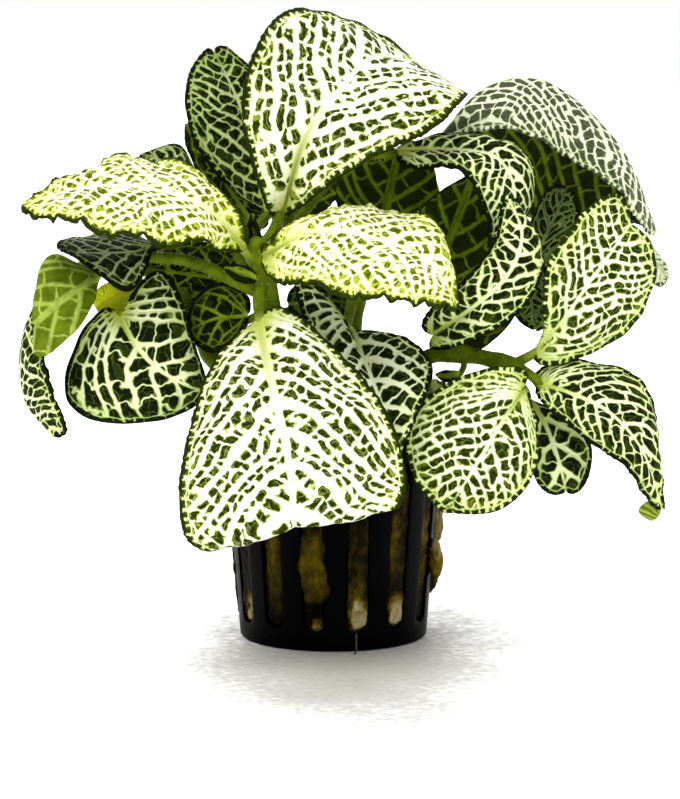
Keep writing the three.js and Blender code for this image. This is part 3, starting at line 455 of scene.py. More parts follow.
LEAVES["leaf_round"] = measured(
    ((40.8, -15, 56.3), (36.7, -20, 50.7), (32.7, -23, 44.5), (28.5, -23, 37.6), (24.9, -21, 31.5)),
    ((45.1, -15, 50), (42.2, -21, 36.4), (31.6, -23, 31.4)),
    ((32.3, -17, 62.6), (17.5, -21, 53.1), (18, -23, 39)),
    ((40.5, -7.5, 62), (40.5, -12, 59.2)),
    wave=(0.5, 2.5, 0.1), bulge=1.5, stalk=1.1, net="bright",
)
LEAVES["leaf_behind_round"] = measured(
    ((44, -4, 54), (47.3, -6, 48.7), (49.5, -8, 43.3), (50.8, -9, 39), (52, -8, 34.1)),
    ((50.3, -4, 51.8), (57.2, -6, 45.3), (56.9, -8, 37.2)),
    ((42.1, -7, 48.8), (43.9, -9, 40.1), (46.6, -9, 34.7)),
    ((38, -7, 63), (40, -3, 58.7), (43, -2, 55.8)),
    wave=(0.4, 2, 0.1), bulge=1, stalk=1, net="dark",
)
LEAVES["leaf_middle"] = measured(
    ((3.7, -4, 71), (6.4, -12, 65.2), (9.6, -21, 58.2), (12.2, -27, 51.8), (14.6, -29, 45.2)),
    ((11.7, -8, 69.4), (21.6, -16, 64.4), (19, -25, 54.8)),
    ((-8.1, -3, 77.1), (0.4, -20, 58.5), (8.5, -28, 47.5)),
    ((4.4, 5, 75.5), (3.7, 0, 73.4)),
    wave=(0.6, 2, 0.4), bulge=1.6, stalk=1.2, net="bold",
)
LEAVES["leaf_behind_top"] = measured(
    ((11.4, 9, 92.3), (12.1, 12, 96.8), (13.1, 15, 100.9), (14, 18, 104.5), (14.7, 18, 108.3)),
    ((19, 15, 94.3), (23.4, 18, 99.2), (21.4, 22, 107.6)),
    ((2.4, 9, 95), (1, 13, 101.5), (6.5, 16, 107.1)),
    ((9.4, 9, 82.8), (10.3, 9, 87.8)),
    wave=(0.4, 2, 0.4), bulge=0.8, stalk=1, net="dark",
)
LEAVES["leaf_behind_right"] = measured(
    ((21.3, 5, 78.2), (24.7, 8, 85.4), (27.5, 11, 91.7), (29.6, 13, 97.2), (31.6, 13, 102.8)),
    ((30.3, 5, 77.8), (35.9, 10, 86.3), (35.5, 14, 95.5)),
    ((18.6, 6, 84), (18.4, 9, 93.2), (25.2, 12, 100.2)),
    ((5.1, 5, 78.2), (13.2, 4, 77.9)),
    wave=(0.4, 2, 0.1), bulge=0.8, stalk=1, net="dark",
)
LEAVES["leaf_inner_left"] = measured(
    ((-19.2, -7, 73.1), (-22.3, -7, 72.9), (-25.6, -7, 72.7), (-29, -7, 71.5), (-32.1, -7, 69.7)),
    ((-20.7, -11, 68.9), (-25.1, -12, 65.9), (-29.6, -10, 66.5)),
    ((-20.1, -4, 78.6), (-25.5, -3, 80.3), (-30.8, -4, 77)),
    ((-14.1, -6, 73.2), (-16.7, -7, 73.3)),
    wave=(0.4, 2, 0.1), bulge=0.8, stalk=1, net="deep",
)
LEAVES["leaf_inner_back"] = measured(
    ((-19.7, 7, 79.2), (-25.2, 9, 79.8), (-31.1, 11, 80.5), (-37.1, 12, 81.1), (-42.5, 12, 82)),
    ((-24.2, 6, 75), (-31.3, 8, 72.9), (-39.3, 10, 75.6)),
    ((-23.1, 9, 86), (-31.6, 14, 88), (-40.7, 13, 86.7)),
    ((-14.3, -7, 76.5), (-16.7, 2, 77.7)),
    wave=(0.4, 2, 0.6), bulge=0.8, stalk=1, net="deep",
)
LEAVES["leaf_inner_right"] = measured(
    ((-10.2, 6, 74.1), (-6.9, 8, 74.5), (-3.5, 10, 74.7), (-0.1, 11, 74.6), (3.3, 11, 73.9)),
    ((-7.6, 12, 78.4), (-3, 14, 78.6), (1, 14, 77.5)),
    ((-7.9, 2, 71.8), (-3.5, 5, 69.6), (1, 8, 70.2)),
    ((-13.9, -6, 73.2), (-12.2, -1, 73.3)),
    wave=(0.4, 2, 0.3), bulge=0.8, stalk=1, net="deep",
)
LEAVES["leaf_bud"] = measured(
    ((-17.3, -12, 82.6), (-18.8, -14, 83.5), (-20.5, -15, 84), (-22.3, -15, 84.5), (-24, -15, 84.9)),
    ((-18.3, -14, 81.3), (-20.5, -16, 81.7), (-22.5, -16, 83)),
    ((-18.3, -13, 84.7), (-21, -13, 85.4), (-22.9, -14, 85.5)),
    ((-15.8, -8, 83.9),),
    wave=(0.1, 2, 0), bulge=0.3, stalk=0.8, net="deep",
)
LEAVES["young_leaf_left"] = measured(
    ((-16.9, -8, 88.8), (-17.1, -7, 90.3), (-17.4, -6, 92), (-17.8, -6, 93.8), (-18, -5, 95.9)),
    ((-18, -8, 89.3), (-18.9, -8, 91.5), (-18.9, -7, 94.3)),
    ((-16, -9, 89.8), (-16.2, -9, 92.3), (-16.9, -7, 94.3)),
    ((-16.9, -8, 87.3),),
    wave=(0.1, 2, 0), bulge=0.2, stalk=0.8, net="deep",
)
LEAVES["leaf_blurred_right"] = measured(
    ((43, 23, 82.2), (44.2, 23, 77.6), (45.1, 22, 74), (45.8, 21, 70.5), (46.2, 19, 67.2)),
    ((49.2, 26, 79.6), (51.2, 24, 73.8), (49.5, 21, 68.6)),
    ((40.7, 21, 78.3), (40.9, 20, 72.6), (42.9, 19, 68.6)),
    ((39.3, 21, 85.2),),
    wave=(0.3, 2, 0.4), bulge=0.7, stalk=1, net="dim",
)
LEAVES["leaf_dark_right"] = measured(
    ((45.5, 17, 83.6), (47.6, 18, 87.1), (49.7, 20, 90.8), (51.6, 21, 94.6), (53.1, 20, 99.1)),
    ((44.7, 21, 88), (46, 24, 93.6), (49.4, 25, 98.6)),
    ((50.4, 14, 81.8), (54.5, 15, 87.4), (56.1, 17, 94.8)),
    ((42.9, 20, 83.6),),
    wave=(0.3, 2, 0.4), bulge=0.7, stalk=0.9, net="dim",
)
LEAVES["leaf_under_middle"] = measured(
    ((26.6, -2, 66.4), (30.5, -4, 68.9), (34.3, -5, 72), (37.1, -5, 74.9), (39.6, -4, 78.4)),
    ((30.4, -7, 65.5), (36.2, -8, 68.5), (40.4, -7, 74.2)),
    ((28, 1, 70.3), (33, 3, 75.8), (37.4, 1, 79.4)),
    ((25.9, -4, 64.7),),
    wave=(0.3, 2, 0.4), bulge=0.7, stalk=1, net="dark",
)
LEAVES["leaf_branch_bud"] = measured(
    ((28, -8, 60.7), (26.6, -9, 60.4), (25.5, -10, 60.3), (24.2, -10, 60.3), (22.8, -10, 60.5)),
    ((27.1, -9, 59.5), (25.5, -10, 58.9), (23.7, -10, 59.6)),
    ((27.1, -8, 61.1), (25.5, -9, 61.3), (23.7, -9, 61)),
    ((28.7, -5, 64.3), (29.1, -7, 62.1)),
    wave=(0.1, 2, 0), bulge=0.2, stalk=0.7, net="deep",
)
LEAVES["leaf_back_low"] = measured(
    ((-8.5, 12, 70.6), (-9.1, 24, 66.4), (-10.1, 34, 60.5), (-11.4, 42, 53.3), (-12.7, 45, 45.7)),
    ((-15, 22, 68.5), (-21, 30, 60.5), (-19.2, 40, 49.8)),
    ((-1.9, 20, 68.7), (0.6, 30, 60.5), (-5.1, 40, 48.6)),
    ((-12.8, -5, 67.7), (-10.7, 4, 68.8)),
    wave=(0.6, 2.5, 0.4), bulge=1.4, stalk=1.2, net="dark",
)
LEAVES["leaf_back_low_right"] = measured(
    ((6.1, 14, 63), (8.4, 25, 60.7), (12, 34, 55.3), (15.1, 40, 48.8), (17.5, 42, 42.3)),
    ((4.3, 22, 60.6), (4.8, 31, 51.5), (11.8, 38, 42.5)),
    ((12.6, 24, 62.7), (20.6, 34, 57.2), (22.2, 40, 47.4)),
    ((4.4, 5, 64.2),),
    wave=(0.6, 2.5, 0.1), bulge=1.3, stalk=1.1, net="dark",
)
LEAVES["leaf_back_left"] = measured(
    ((-21.8, 20, 86.7), (-27.8, 29, 88.3), (-33.4, 36, 89.5), (-39.5, 43, 90.7), (-45.5, 47, 91)),
    ((-25.6, 23, 86.6), (-34.1, 30, 86.6), (-42.3, 39, 87.6)),
    ((-24.9, 33, 91.4), (-34.7, 48, 93.8), (-43.4, 52, 93.4)),
    ((-14.7, -7, 79.1), (-15.8, 4, 79.9), (-19, 15, 84)),
    wave=(0.8, 2.5, 0.2), bulge=1.3, stalk=1.2, net="dark",
)
LEAVES["leaf_back_right"] = measured(
    ((1.5, 16, 81.6), (4.3, 27, 81.8), (8.5, 37, 81.9), (13.7, 45, 81.1), (19.5, 51, 79)),
    ((2.7, 32, 85.9), (9, 46, 87.4), (16.9, 54, 84.2)),
    ((2.6, 22, 76.8), (10.3, 33, 74.6), (18.4, 45, 74.2)),
    ((5.3, 5, 79.2), (2.9, 11, 80.3)),
    wave=(0.8, 2.5, 0.7), bulge=1.3, stalk=1.2, net="dark",
)
LEAVES["leaf_back_top"] = measured(
    ((-9.8, 14, 90), (-4.9, 27, 100.7), (0.3, 39, 108.6), (4.3, 45, 114.2), (8.5, 47, 118.8)),
    ((1, 25, 97.2), (11, 38, 108.9), (14.4, 45, 116.5)),
    ((-14.7, 31, 96.7), (-12, 39, 110.4), (-2, 45, 118.9)),
    ((-15.4, -8, 83.9), (-13.1, 2, 84.4), (-11.6, 10, 87)),
    wave=(0.7, 2.5, 0.6), bulge=1.3, stalk=1.2, net="dark",
)
LEAVES["leaf_back_middle"] = measured(
    ((2.6, 14, 54.7), (1.7, 26, 51.9), (1, 36, 46.8), (0.3, 41, 40.6), (-0.4, 43, 33.6)),
    ((-2.7, 24, 52), (-6.7, 37, 45.4), (-5.6, 42, 36.9)),
    ((7, 24, 51.5), (8.1, 37, 43.6), (4.8, 42, 35.7)),
    ((4.4, 6.3, 56.7),),
    wave=(0.6, 2.5, 0.3), bulge=1.2, stalk=1.1, net="dark",
)
LEAVES["leaf_back_inner"] = measured(
    ((12.5, 19, 87.2), (9.3, 26, 90.2), (6.8, 31, 93.5), (4.7, 34, 96.7), (3.1, 36, 100)),
    ((7.4, 20, 86.5), (2, 26, 92.3), (-0.1, 32, 97.5)),
    ((13.7, 27, 90.6), (12.2, 36, 96.7), (7.6, 39, 100.2)),
    ((13.5, 11.8, 85.5),),
    wave=(0.5, 2.5, 0.2), bulge=1, stalk=1, net="deep",
)
LEAVES["leaf_back_far_left"] = measured(
    ((-33.2, 9, 67.5), (-38.5, 22, 63.4), (-43.6, 32, 59.5), (-47.9, 38, 55.5), (-51.1, 41, 50.6)),
    ((-38.6, 20, 66.9), (-46.9, 33, 62.5), (-51.9, 39, 55.6)),
    ((-34.3, 19, 60.5), (-39.1, 29, 52.7), (-46.3, 37, 49)),
    ((-27.9, 1.4, 63.5), (-30.3, 4, 66.1)),
    wave=(0.6, 2.5, 0.5), bulge=1.2, stalk=1.1, net="dark",
)
LEAVES["leaf_back_branch"] = measured(
    ((21.9, 6, 57.4), (24.4, 18, 52.3), (27.5, 28, 46.7), (30.5, 34, 40.9), (32.9, 37, 34.8)),
    ((19.3, 15, 51.8), (21.2, 26, 42.3), (27, 34, 34.3)),
    ((28.1, 18, 53.5), (34.5, 29, 48), (36.6, 35, 39.8)),
    ((16.9, -3.2, 60.6), (19.3, 1, 59.9)),
    wave=(0.6, 2.5, 0.1), bulge=1.2, stalk=1.1, net="dark",
)
LEAVES["leaf_back_low_left"] = measured(
    ((-16.2, 7, 59.4), (-20, 18, 55.1), (-23.5, 28, 49.5), (-26.1, 34, 43), (-27.8, 36, 36.6)),
    ((-21.5, 20, 57.6), (-28.7, 31, 49.6), (-30.8, 36, 40.9)),
    ((-15, 16, 52.9), (-18.9, 28, 43.9), (-22.8, 34, 36.7)),
    ((-11, -3.4, 59.6), (-13.6, 2, 60.5)),
    wave=(0.6, 2.5, 0.7), bulge=1.2, stalk=1.1, net="dark",
)
print("leaves:", len(LEAVES))

# %% [markdown]
# ## The sheet of a leaf
# A leaf blade is one thin curved sheet. A smooth curve through the five midrib points carries it. From each
# point of the midrib an arm reaches out to either margin, as long as the leaf is wide there: full near the
# base and narrowing to the tip. The place across the leaf is v, from -1 at the left margin to 1 at the right,
# and u runs from base to tip. This is the form of the plain solids too, so the fine leaf stays where its
# solid is.

# %% Blade form
BASE_FULLNESS = 0.38
TIP_FULLNESS = 0.56
WIDEST = BASE_FULLNESS / (BASE_FULLNESS + TIP_FULLNESS)
STATIONS = np.array([0.2, 0.5, 0.8])
LEFT_WAVE_LAG = 0.35
SWELL_POWER = 0.7
BLADE_END = 0.004
STEP_ALONG = 0.02
STEP_ACROSS = 0.25
NORMAL_RANGE = (0.002, 0.998)
RIB_SAMPLES = 200


def smooth_path(points, share):
    """Points at shares 0 to 1 of a smooth curve through measured points."""
    p = np.array(points, float)
    p = np.vstack([2 * p[0] - p[1], p, 2 * p[-1] - p[-2]])
    spans = len(p) - 3
    x = np.clip(share, 0, 1) * spans
    i = np.minimum(x.astype(int), spans - 1)
    w = (x - i)[:, None]
    a, b, c, d = p[i], p[i + 1], p[i + 2], p[i + 3]
    bend = 2 * a - 5 * b + 4 * c - d
    return 0.5 * (2 * b + (c - a) * w + bend * w**2 + (3 * b - a - 3 * c + d) * w**3)


def fullness(u):
    """How wide the blade is at u, as a share of its greatest width."""
    peak = WIDEST**BASE_FULLNESS * (1 - WIDEST) ** TIP_FULLNESS
    return u**BASE_FULLNESS * (1 - u) ** TIP_FULLNESS / peak


def arms(leaf, side, u):
    """The arms from midrib to margin at u, through the three measured margin points."""
    reach = (np.array(leaf[side]) - smooth_path(leaf["rib"], STATIONS)) / fullness(STATIONS)[:, None]
    t = (u - STATIONS[1]) / (STATIONS[2] - STATIONS[1])
    return np.stack([t * (t - 1) / 2, 1 - t * t, t * (t + 1) / 2], axis=1) @ reach


def flat_point(leaf, u, v):
    """The blade before it swells and waves."""
    both = np.where((v < 0)[:, None], arms(leaf, "left", u), arms(leaf, "right", u))
    return smooth_path(leaf["rib"], u) + both * (np.abs(v) * fullness(u))[:, None]


def upper_normal(leaf, u, v):
    """The direction that the leaf's upper side faces."""
    ahead, behind = (np.clip(u + step, *NORMAL_RANGE) for step in (STEP_ALONG, -STEP_ALONG))
    right, left = (np.clip(v + step, -1, 1) for step in (STEP_ACROSS, -STEP_ACROSS))
    along = flat_point(leaf, ahead, v) - flat_point(leaf, behind, v)
    across = flat_point(leaf, u, right) - flat_point(leaf, u, left)
    normal = np.cross(across, along)
    return normal / np.linalg.norm(normal, axis=1)[:, None]


def blade_point(leaf, u, v, lift=0.0):
    """The blade with its swelling halves and waved margin, raised by lift."""
    height, count, phase = leaf["wave"]
    swell = leaf["bulge"] * np.sin(np.pi * np.abs(v)) * (4 * u * (1 - u)) ** SWELL_POWER
    lag = np.where(v < 0, LEFT_WAVE_LAG, 0)
    ripple = height * v * v * np.sin(2 * np.pi * (count * u + phase + lag))
    return flat_point(leaf, u, v) + upper_normal(leaf, u, v) * (swell + ripple + lift)[:, None]


LEAF_LENGTHS = {}
for leaf_name, leaf in LEAVES.items():
    steps = smooth_path(leaf["rib"], np.linspace(0, 1, RIB_SAMPLES))
    LEAF_LENGTHS[leaf_name] = np.linalg.norm(np.diff(steps, axis=0), axis=1).sum()
print("longest blade, mm:", round(max(LEAF_LENGTHS.values()), 1))

# %% [markdown]
# ## Where the veins run
# The side veins of a nerve plant leave the midrib at about fifty degrees and arch towards the tip, and the
# lowest ones fan out from the base. Short rungs join them, square to them, as on a ladder. So every point of
# a blade gets a vein count: whole numbers lie on side veins, and halves midway between two. It also gets a
# rung distance, in millimetres along the side veins, which stays the same on a line that crosses them all
# squarely. Its distance from the midrib, its distance from the margin and its place along the margin follow.
# These numbers go into UV maps. The colours follow them, and so does the relief, so the two agree.

# %% Vein coordinates
VEIN_LEAN = 0.85
VEIN_ARCH = 0.34
FAN_VEINS = 3.2
FAN_ROOT = 0.08
FEWEST_VEINS = 3
VEIN_STEP = 14
SPARSE_SHARE = 0.78
VEIN_BEND = 0.10
BEND_WAVES = (0.35, 0.21)
GAP_LIMITS = (0.5, 25)
MARGIN_SAMPLES = 400
FAN_SAMPLES = 900


def run_along(path):
    """The distance along a path at each of its points."""
    return np.concatenate([[0], np.cumsum(np.linalg.norm(np.diff(path, axis=0), axis=1))])


def vein_count_of(leaf, length):
    """How many side veins a leaf of this length has on either side: fewer on the plain dark ones."""
    share = SPARSE_SHARE if leaf["net"] in ("dark", "deep", "faint") else 1.0
    return round((FEWEST_VEINS + length / VEIN_STEP) * share)


def half_width(leaf):
    """Half of the blade's width at mid length."""
    return np.linalg.norm(np.subtract(leaf["left"][1], leaf["right"][1])) / 2


def vein_coordinates(leaf, u, v, length, sway):
    """Vein count, rung distance, and distance from the midrib, at each point.

    Here y is the place along the midrib and x the distance square to it."""
    share = np.linspace(0, 1, RIB_SAMPLES)
    path = smooth_path(leaf["rib"], share)
    ahead = np.gradient(path, axis=0)
    ahead /= np.linalg.norm(ahead, axis=1)[:, None]
    ahead = np.stack([np.interp(u, share, ahead[:, k]) for k in range(3)], axis=1)
    reach = flat_point(leaf, u, v) - smooth_path(leaf["rib"], u)
    swept = (reach * ahead).sum(axis=1)
    x = np.linalg.norm(reach - swept[:, None] * ahead, axis=1)
    y = np.interp(u, share, run_along(path)) + swept
    arch, root = VEIN_ARCH / half_width(leaf), FAN_ROOT * length

    def fall(x):
        return VEIN_LEAN * x + arch * x * x

    def climb(x):
        return np.log(VEIN_LEAN + 2 * arch * x) / (2 * arch)

    start = y - fall(x)
    index = np.where(start > 0, vein_count_of(leaf, length) * start / length, FAN_VEINS * start / (x + root))
    wave_out, wave_up = BEND_WAVES
    index = index + VEIN_BEND * np.sin(wave_out * x + sway) * np.sin(wave_up * y + 2 * sway)
    first = np.linspace(0, 3 * length, FAN_SAMPLES)
    first_run = run_along(np.stack([first, fall(first)], axis=1))
    above = np.interp(y + climb(x), fall(first) + climb(first), first_run)
    fan_reach = np.hypot(x + root, y - fall(-root))
    in_fan = np.interp(fan_reach, np.hypot(first + root, fall(first) - fall(-root)), first_run)
    return index, np.where(start > 0, above, in_fan), x


def margin_distance(points, leaf, v_side):
    """Each point's distance to one margin, and the nearest place along that margin."""
    u = np.linspace(BLADE_END, 1 - BLADE_END, MARGIN_SAMPLES)
    edge = blade_point(leaf, u, np.full_like(u, v_side))
    gaps = np.linalg.norm(points[:, None, :] - edge[None, :, :], axis=2)
    nearest = gaps.argmin(axis=1)
    return gaps[np.arange(len(points)), nearest], run_along(edge)[nearest]


def spacing(points, index, shape):
    """The distance in millimetres between neighbouring side veins, from how fast the count changes."""
    grid, count = points.reshape(*shape, 3), index.reshape(shape)
    pu, pv = np.gradient(grid, axis=0), np.gradient(grid, axis=1)
    su, sv = np.gradient(count, axis=0), np.gradient(count, axis=1)
    uu, uv, vv = (pu * pu).sum(2), (pu * pv).sum(2), (pv * pv).sum(2)
    slope = (vv * su**2 - 2 * uv * su * sv + uu * sv**2) / np.maximum(uu * vv - uv**2, 1e-9)
    return np.clip(1 / np.sqrt(np.maximum(slope, 1e-9)), *GAP_LIMITS).ravel()


print("side veins on the front leaf:", vein_count_of(LEAVES["leaf_front"], LEAF_LENGTHS["leaf_front"]))

# %% [markdown]
# ## The finish of a leaf
# The net is drawn from one number: how far a point is from the edge of the nearest vein, negative inside it.
# The midrib and side veins come straight from the vein coordinates. The rungs are a Voronoi pattern in one
# dimension, so they stand at uneven steps, and each strip between two side veins has its own. A smooth
# minimum joins rungs and side veins, which rounds the corners of the cells as on the leaf. Halfway between
# two side veins runs a thinner one of a second rank. A finer Voronoi pattern in two dimensions splits some of
# the cells, and shows in others as faint lines. Near the margin one vein joins the ends of the side veins,
# short teeth run out from it like a comb, and the very edge is a dark hem. Fades over that one number give
# the white vein, its yellow-green fringe and the dark cell. No real net is even, so soft noise of four sizes
# first shifts the coordinates. The broadest noise makes some side veins stand close and others wide apart.
#
# Each look gives its net in millimetres. Rows is how many strips lie between two side veins, and rung is the
# usual step from rung to rung. Lateral, second, midrib, tooth and what ends in half are half the width of
# their veins, or a little less, and a negative one hides its vein in most places. Loop is how far in the
# margin's vein runs, comb the step of its teeth, and rim the width of the pale edge outside it. Rounding,
# ragged and scatter say how soft and how uneven the net is, and fine_cover how many cells the finer net
# splits. Vein, outer and base colour the veins over the blade, near its margin and near its base. The other
# colours belong to the cells, of which pale_share are pale, and pale_rim more near the margin. Hem is the
# colour of the very edge, where that isn't the dark of the cells. Neck is how far the green of the stalk runs
# up into the veins: furthest on the crown leaf.

# %% Leaf looks
LOOKS = {
    "white": {
        "rows": 2, "rung": 3.5, "rung_half": 0.32, "rounding": 0.9,
        "lateral": 0.80, "second": 0.17, "midrib": 0.9,
        "fine_half": 0.05, "fine_cover": 0.22, "scatter": 0.8, "ragged": 0.7,
        "rim": 1.2, "loop": 2.1, "loop_half": 0.05, "comb": 2.1, "tooth": 0.24,
        "vein": (1.0, 1.0, 0.90), "outer": (0.88, 0.94, 0.56), "base": (0.78, 0.82, 0.32),
        "fringe": (0.56, 0.66, 0.14), "flesh": (0.10, 0.14, 0.006), "dark": (0.014, 0.023, 0.001),
        "pale_cell": (0.24, 0.31, 0.02), "pale_share": 0.04, "pale_rim": 0.3, "gloss": 0.04,
    },
    "pale": {
        "rows": 2, "rung": 2.4, "rung_half": 0.28, "rounding": 0.6,
        "lateral": 0.50, "second": 0.32, "midrib": 0.7,
        "fine_half": 0.05, "fine_cover": 0.36, "scatter": 0.8, "ragged": 0.8,
        "rim": 1.5, "loop": 2.2, "loop_half": 0.06, "comb": 1.9, "tooth": 0.26,
        "vein": (1.0, 1.0, 0.74), "outer": (0.90, 0.95, 0.38), "base": (0.84, 0.88, 0.30),
        "fringe": (0.66, 0.76, 0.10), "flesh": (0.25, 0.32, 0.008), "dark": (0.065, 0.092, 0.002),
        "pale_cell": (0.40, 0.49, 0.02), "pale_share": 0.2, "pale_rim": 0.3, "gloss": 0.04,
        "hem": (0.020, 0.031, 0.001),
    },
    "bright": {
        "rows": 2, "rung": 3.0, "rung_half": 0.15, "rounding": 0.9,
        "lateral": 0.30, "second": 0.14, "midrib": 0.35,
        "fine_half": 0.02, "fine_cover": 0.20, "scatter": 0.7, "ragged": 0.45,
        "rim": 0.5, "loop": 1.5, "loop_half": 0.06, "comb": 2.0, "tooth": 0.12,
        "vein": (0.94, 1.0, 0.74), "outer": (0.76, 0.86, 0.36), "base": (0.78, 0.86, 0.34),
        "fringe": (0.34, 0.46, 0.06), "flesh": (0.06, 0.09, 0.004), "dark": (0.012, 0.020, 0.001),
        "pale_cell": (0.14, 0.19, 0.01), "pale_share": 0.08, "pale_rim": 0.25, "gloss": 0.04,
    },
    "dark": {
        "rows": 1, "rung": 3.7, "rung_half": 0.12, "rounding": 1.5,
        "lateral": 0.38, "second": 0.0, "midrib": 0.5,
        "fine_half": 0.0, "fine_cover": 0.18, "scatter": 0.7, "ragged": 0.3,
        "rim": 0.8, "loop": 1.4, "loop_half": 0.0, "comb": 2.6, "tooth": -0.12,
        "vein": (0.88, 0.95, 0.54), "outer": (0.58, 0.70, 0.26), "base": (0.60, 0.70, 0.14),
        "fringe": (0.20, 0.29, 0.05), "flesh": (0.018, 0.030, 0.002), "dark": (0.005, 0.008, 0.001),
        "pale_cell": (0.02, 0.035, 0.002), "pale_share": 0.2, "pale_rim": 0.2, "gloss": 0.03,
    },
}
LOOKS["crown"] = {**LOOKS["white"], "midrib": 1.1, "base": (0.72, 0.76, 0.22), "neck": 0.55}
LOOKS["close"] = {
    **LOOKS["dark"], "rows": 2, "rung": 3.9, "lateral": 0.32, "second": 0.11, "rounding": 1.0,
    "vein": (0.90, 0.97, 0.60), "outer": (0.72, 0.83, 0.34), "fine_cover": 0.2, "comb": 2.2, "tooth": 0.0,
}
LOOKS["bold"] = {
    **LOOKS["close"], "rows": 1, "rung": 3.3, "rung_half": 0.22, "lateral": 0.52, "second": 0.0,
    "vein": (0.94, 0.99, 0.68), "outer": (0.80, 0.90, 0.46), "base": (0.80, 0.86, 0.36),
    "ragged": 0.35, "tooth": 0.05,
}
# The grey look is partly painted sheen: its greyed, lighter cells and veins stand for white light glancing
# off these leaves, on top of their real gloss.
LOOKS["grey"] = {
    **LOOKS["close"], "vein": (0.82, 0.88, 0.64), "outer": (0.72, 0.78, 0.52),
    "dark": (0.034, 0.042, 0.018), "flesh": (0.09, 0.11, 0.04), "gloss": 0.25,
    "rim": 0.1, "loop": 1.0, "comb": 1.7, "tooth": 0.25, "pale_rim": 0.0,
    "lateral": 0.46, "second": 0.26, "rung_half": 0.22, "ragged": 0.45,
}
LOOKS["olive"] = {
    **LOOKS["close"], "vein": (0.56, 0.65, 0.30), "outer": (0.42, 0.51, 0.18),
    "lateral": 0.24, "second": 0.06, "rung_half": 0.08,
}
LOOKS["faint"] = {
    **LOOKS["olive"], "vein": (0.52, 0.58, 0.34), "outer": (0.40, 0.45, 0.24),
    "rows": 1, "lateral": 0.20, "rung": 3.4, "midrib": 0.3,
}
LOOKS["slim"] = {**LOOKS["close"], "rung": 3.2, "rung_half": 0.05, "lateral": 0.22, "second": 0.05}
# The dim look is painted shade: veins and cells darkened almost to black for the leaves that sit in shadow
# behind the plant on the right.
LOOKS["dim"] = {
    **LOOKS["close"], "vein": (0.13, 0.16, 0.08), "outer": (0.05, 0.07, 0.03),
    "dark": (0.002, 0.003, 0.001), "hem": (0.005, 0.008, 0.001),
    "lateral": 0.13, "second": -0.02, "rung_half": 0.03, "midrib": 0.2,
}
# The deep look is painted shade: its dark green veins and darker cells stand for leaves in the shade inside
# and at the back of the plant.
LOOKS["deep"] = {
    **LOOKS["dark"], "rung": 3.2, "lateral": 0.22, "rung_half": 0.05, "rounding": 1.0,
    "vein": (0.23, 0.32, 0.016), "outer": (0.14, 0.20, 0.010), "base": (0.19, 0.27, 0.010),
    "fringe": (0.06, 0.09, 0.004), "flesh": (0.012, 0.020, 0.001),
}
# The yellow look is partly the leaf's own yellow-green and partly painted light, brightened as if light shone
# through the leaf from behind.
LOOKS["yellow"] = {
    **LOOKS["pale"], "vein": (0.86, 0.90, 0.02), "outer": (0.80, 0.84, 0.02), "fringe": (0.8, 0.84, 0.01),
    "base": (0.8, 0.84, 0.01), "flesh": (0.72, 0.77, 0.01), "dark": (0.62, 0.68, 0.01),
    "pale_cell": (0.75, 0.80, 0.01), "hem": (0.62, 0.68, 0.01), "rim": -1.0, "tooth": 0.0,
}
NECK_GREEN = (0.44, 0.51, 0.075)
print("looks of the net:", sorted(LOOKS))

# %% [markdown]
# The vein coordinates are read back from the UV maps. Unevenly spaced lines are Voronoi patterns: their
# distance to the nearest edge is 0 on a line.

# %% Vein patterns
UV_MAPS = {
    "net": ("index", "along"),
    "rim": ("perimeter", "edge"),
    "blade": ("u", "across"),
    "span": ("gap", "middle"),
}


def leaf_maps(tree):
    """The eight vein coordinates of a leaf, by name."""
    found = {}
    for layer, names in UV_MAPS.items():
        uv = tree.nodes.new("ShaderNodeUVMap")
        uv.uv_map = layer
        found.update(zip(names, axes(tree, uv.outputs["UV"])))
    return found


def voronoi(tree, place, scatter=0.75, feature="DISTANCE_TO_EDGE"):
    """A Voronoi node: an amount as its place gives it one dimension, and a vector two."""
    node = tree.nodes.new("ShaderNodeTexVoronoi")
    in_line = isinstance(place, Amount)
    node.voronoi_dimensions = "1D" if in_line else "2D"
    node.feature = feature
    node.inputs["Scale"].default_value = 1.0
    node.inputs["Randomness"].default_value = scatter
    wire(place, node.inputs["W" if in_line else "Vector"])
    return node


def uneven_lines(tree, place, step, scatter):
    """The distance to the nearest of some lines that stand about a step apart, in the unit of step."""
    return Amount(voronoi(tree, place, scatter).outputs["Distance"]) * step


# %% [markdown]
# Now the net itself. Four noises drift over about 12, 5, 2 and 1 mm. Their strengths here say how far each
# shifts the vein count, the place along a vein and the margin. Veins also thin out towards the margin.

# %% Net field
DRIFT_SIZES = (12.0, 1.0), (5.0, 2.0), (2.2, 1.0), (0.9, 2.0)
COUNT_DRIFT = (1.1, 0.35, 0.16)
ALONG_DRIFT = (6.0, 1.4)
MARGIN_DRIFT = 1.6
RIM_DRIFT = 1.9
SECOND_DRIFT = 0.5
SLANT_DRIFT = 1.8
PERIMETER_DRIFT = 2.0
TOOTH_DRIFT = (1.3, 0.6)
FULL_VEIN = 1.22
VEIN_TAPER = 0.68
STRIP_SHIFT = 7.37
RUNG_SCATTER = 0.85
BARE_LUMPS = 3.0
BARE_SOFTNESS = 0.06
FINE_ROUNDING = 0.4
FAINT_WIDTH = 0.16
FAINT_PLACES = (0.06, -0.10)
MARGIN_SLOPE = 8
MARGIN_ROUNDING = 0.3
MIDRIB_TAPER = 0.8
MIDRIB_LEAST = 0.15
MIDRIB_ROUNDING = 0.5


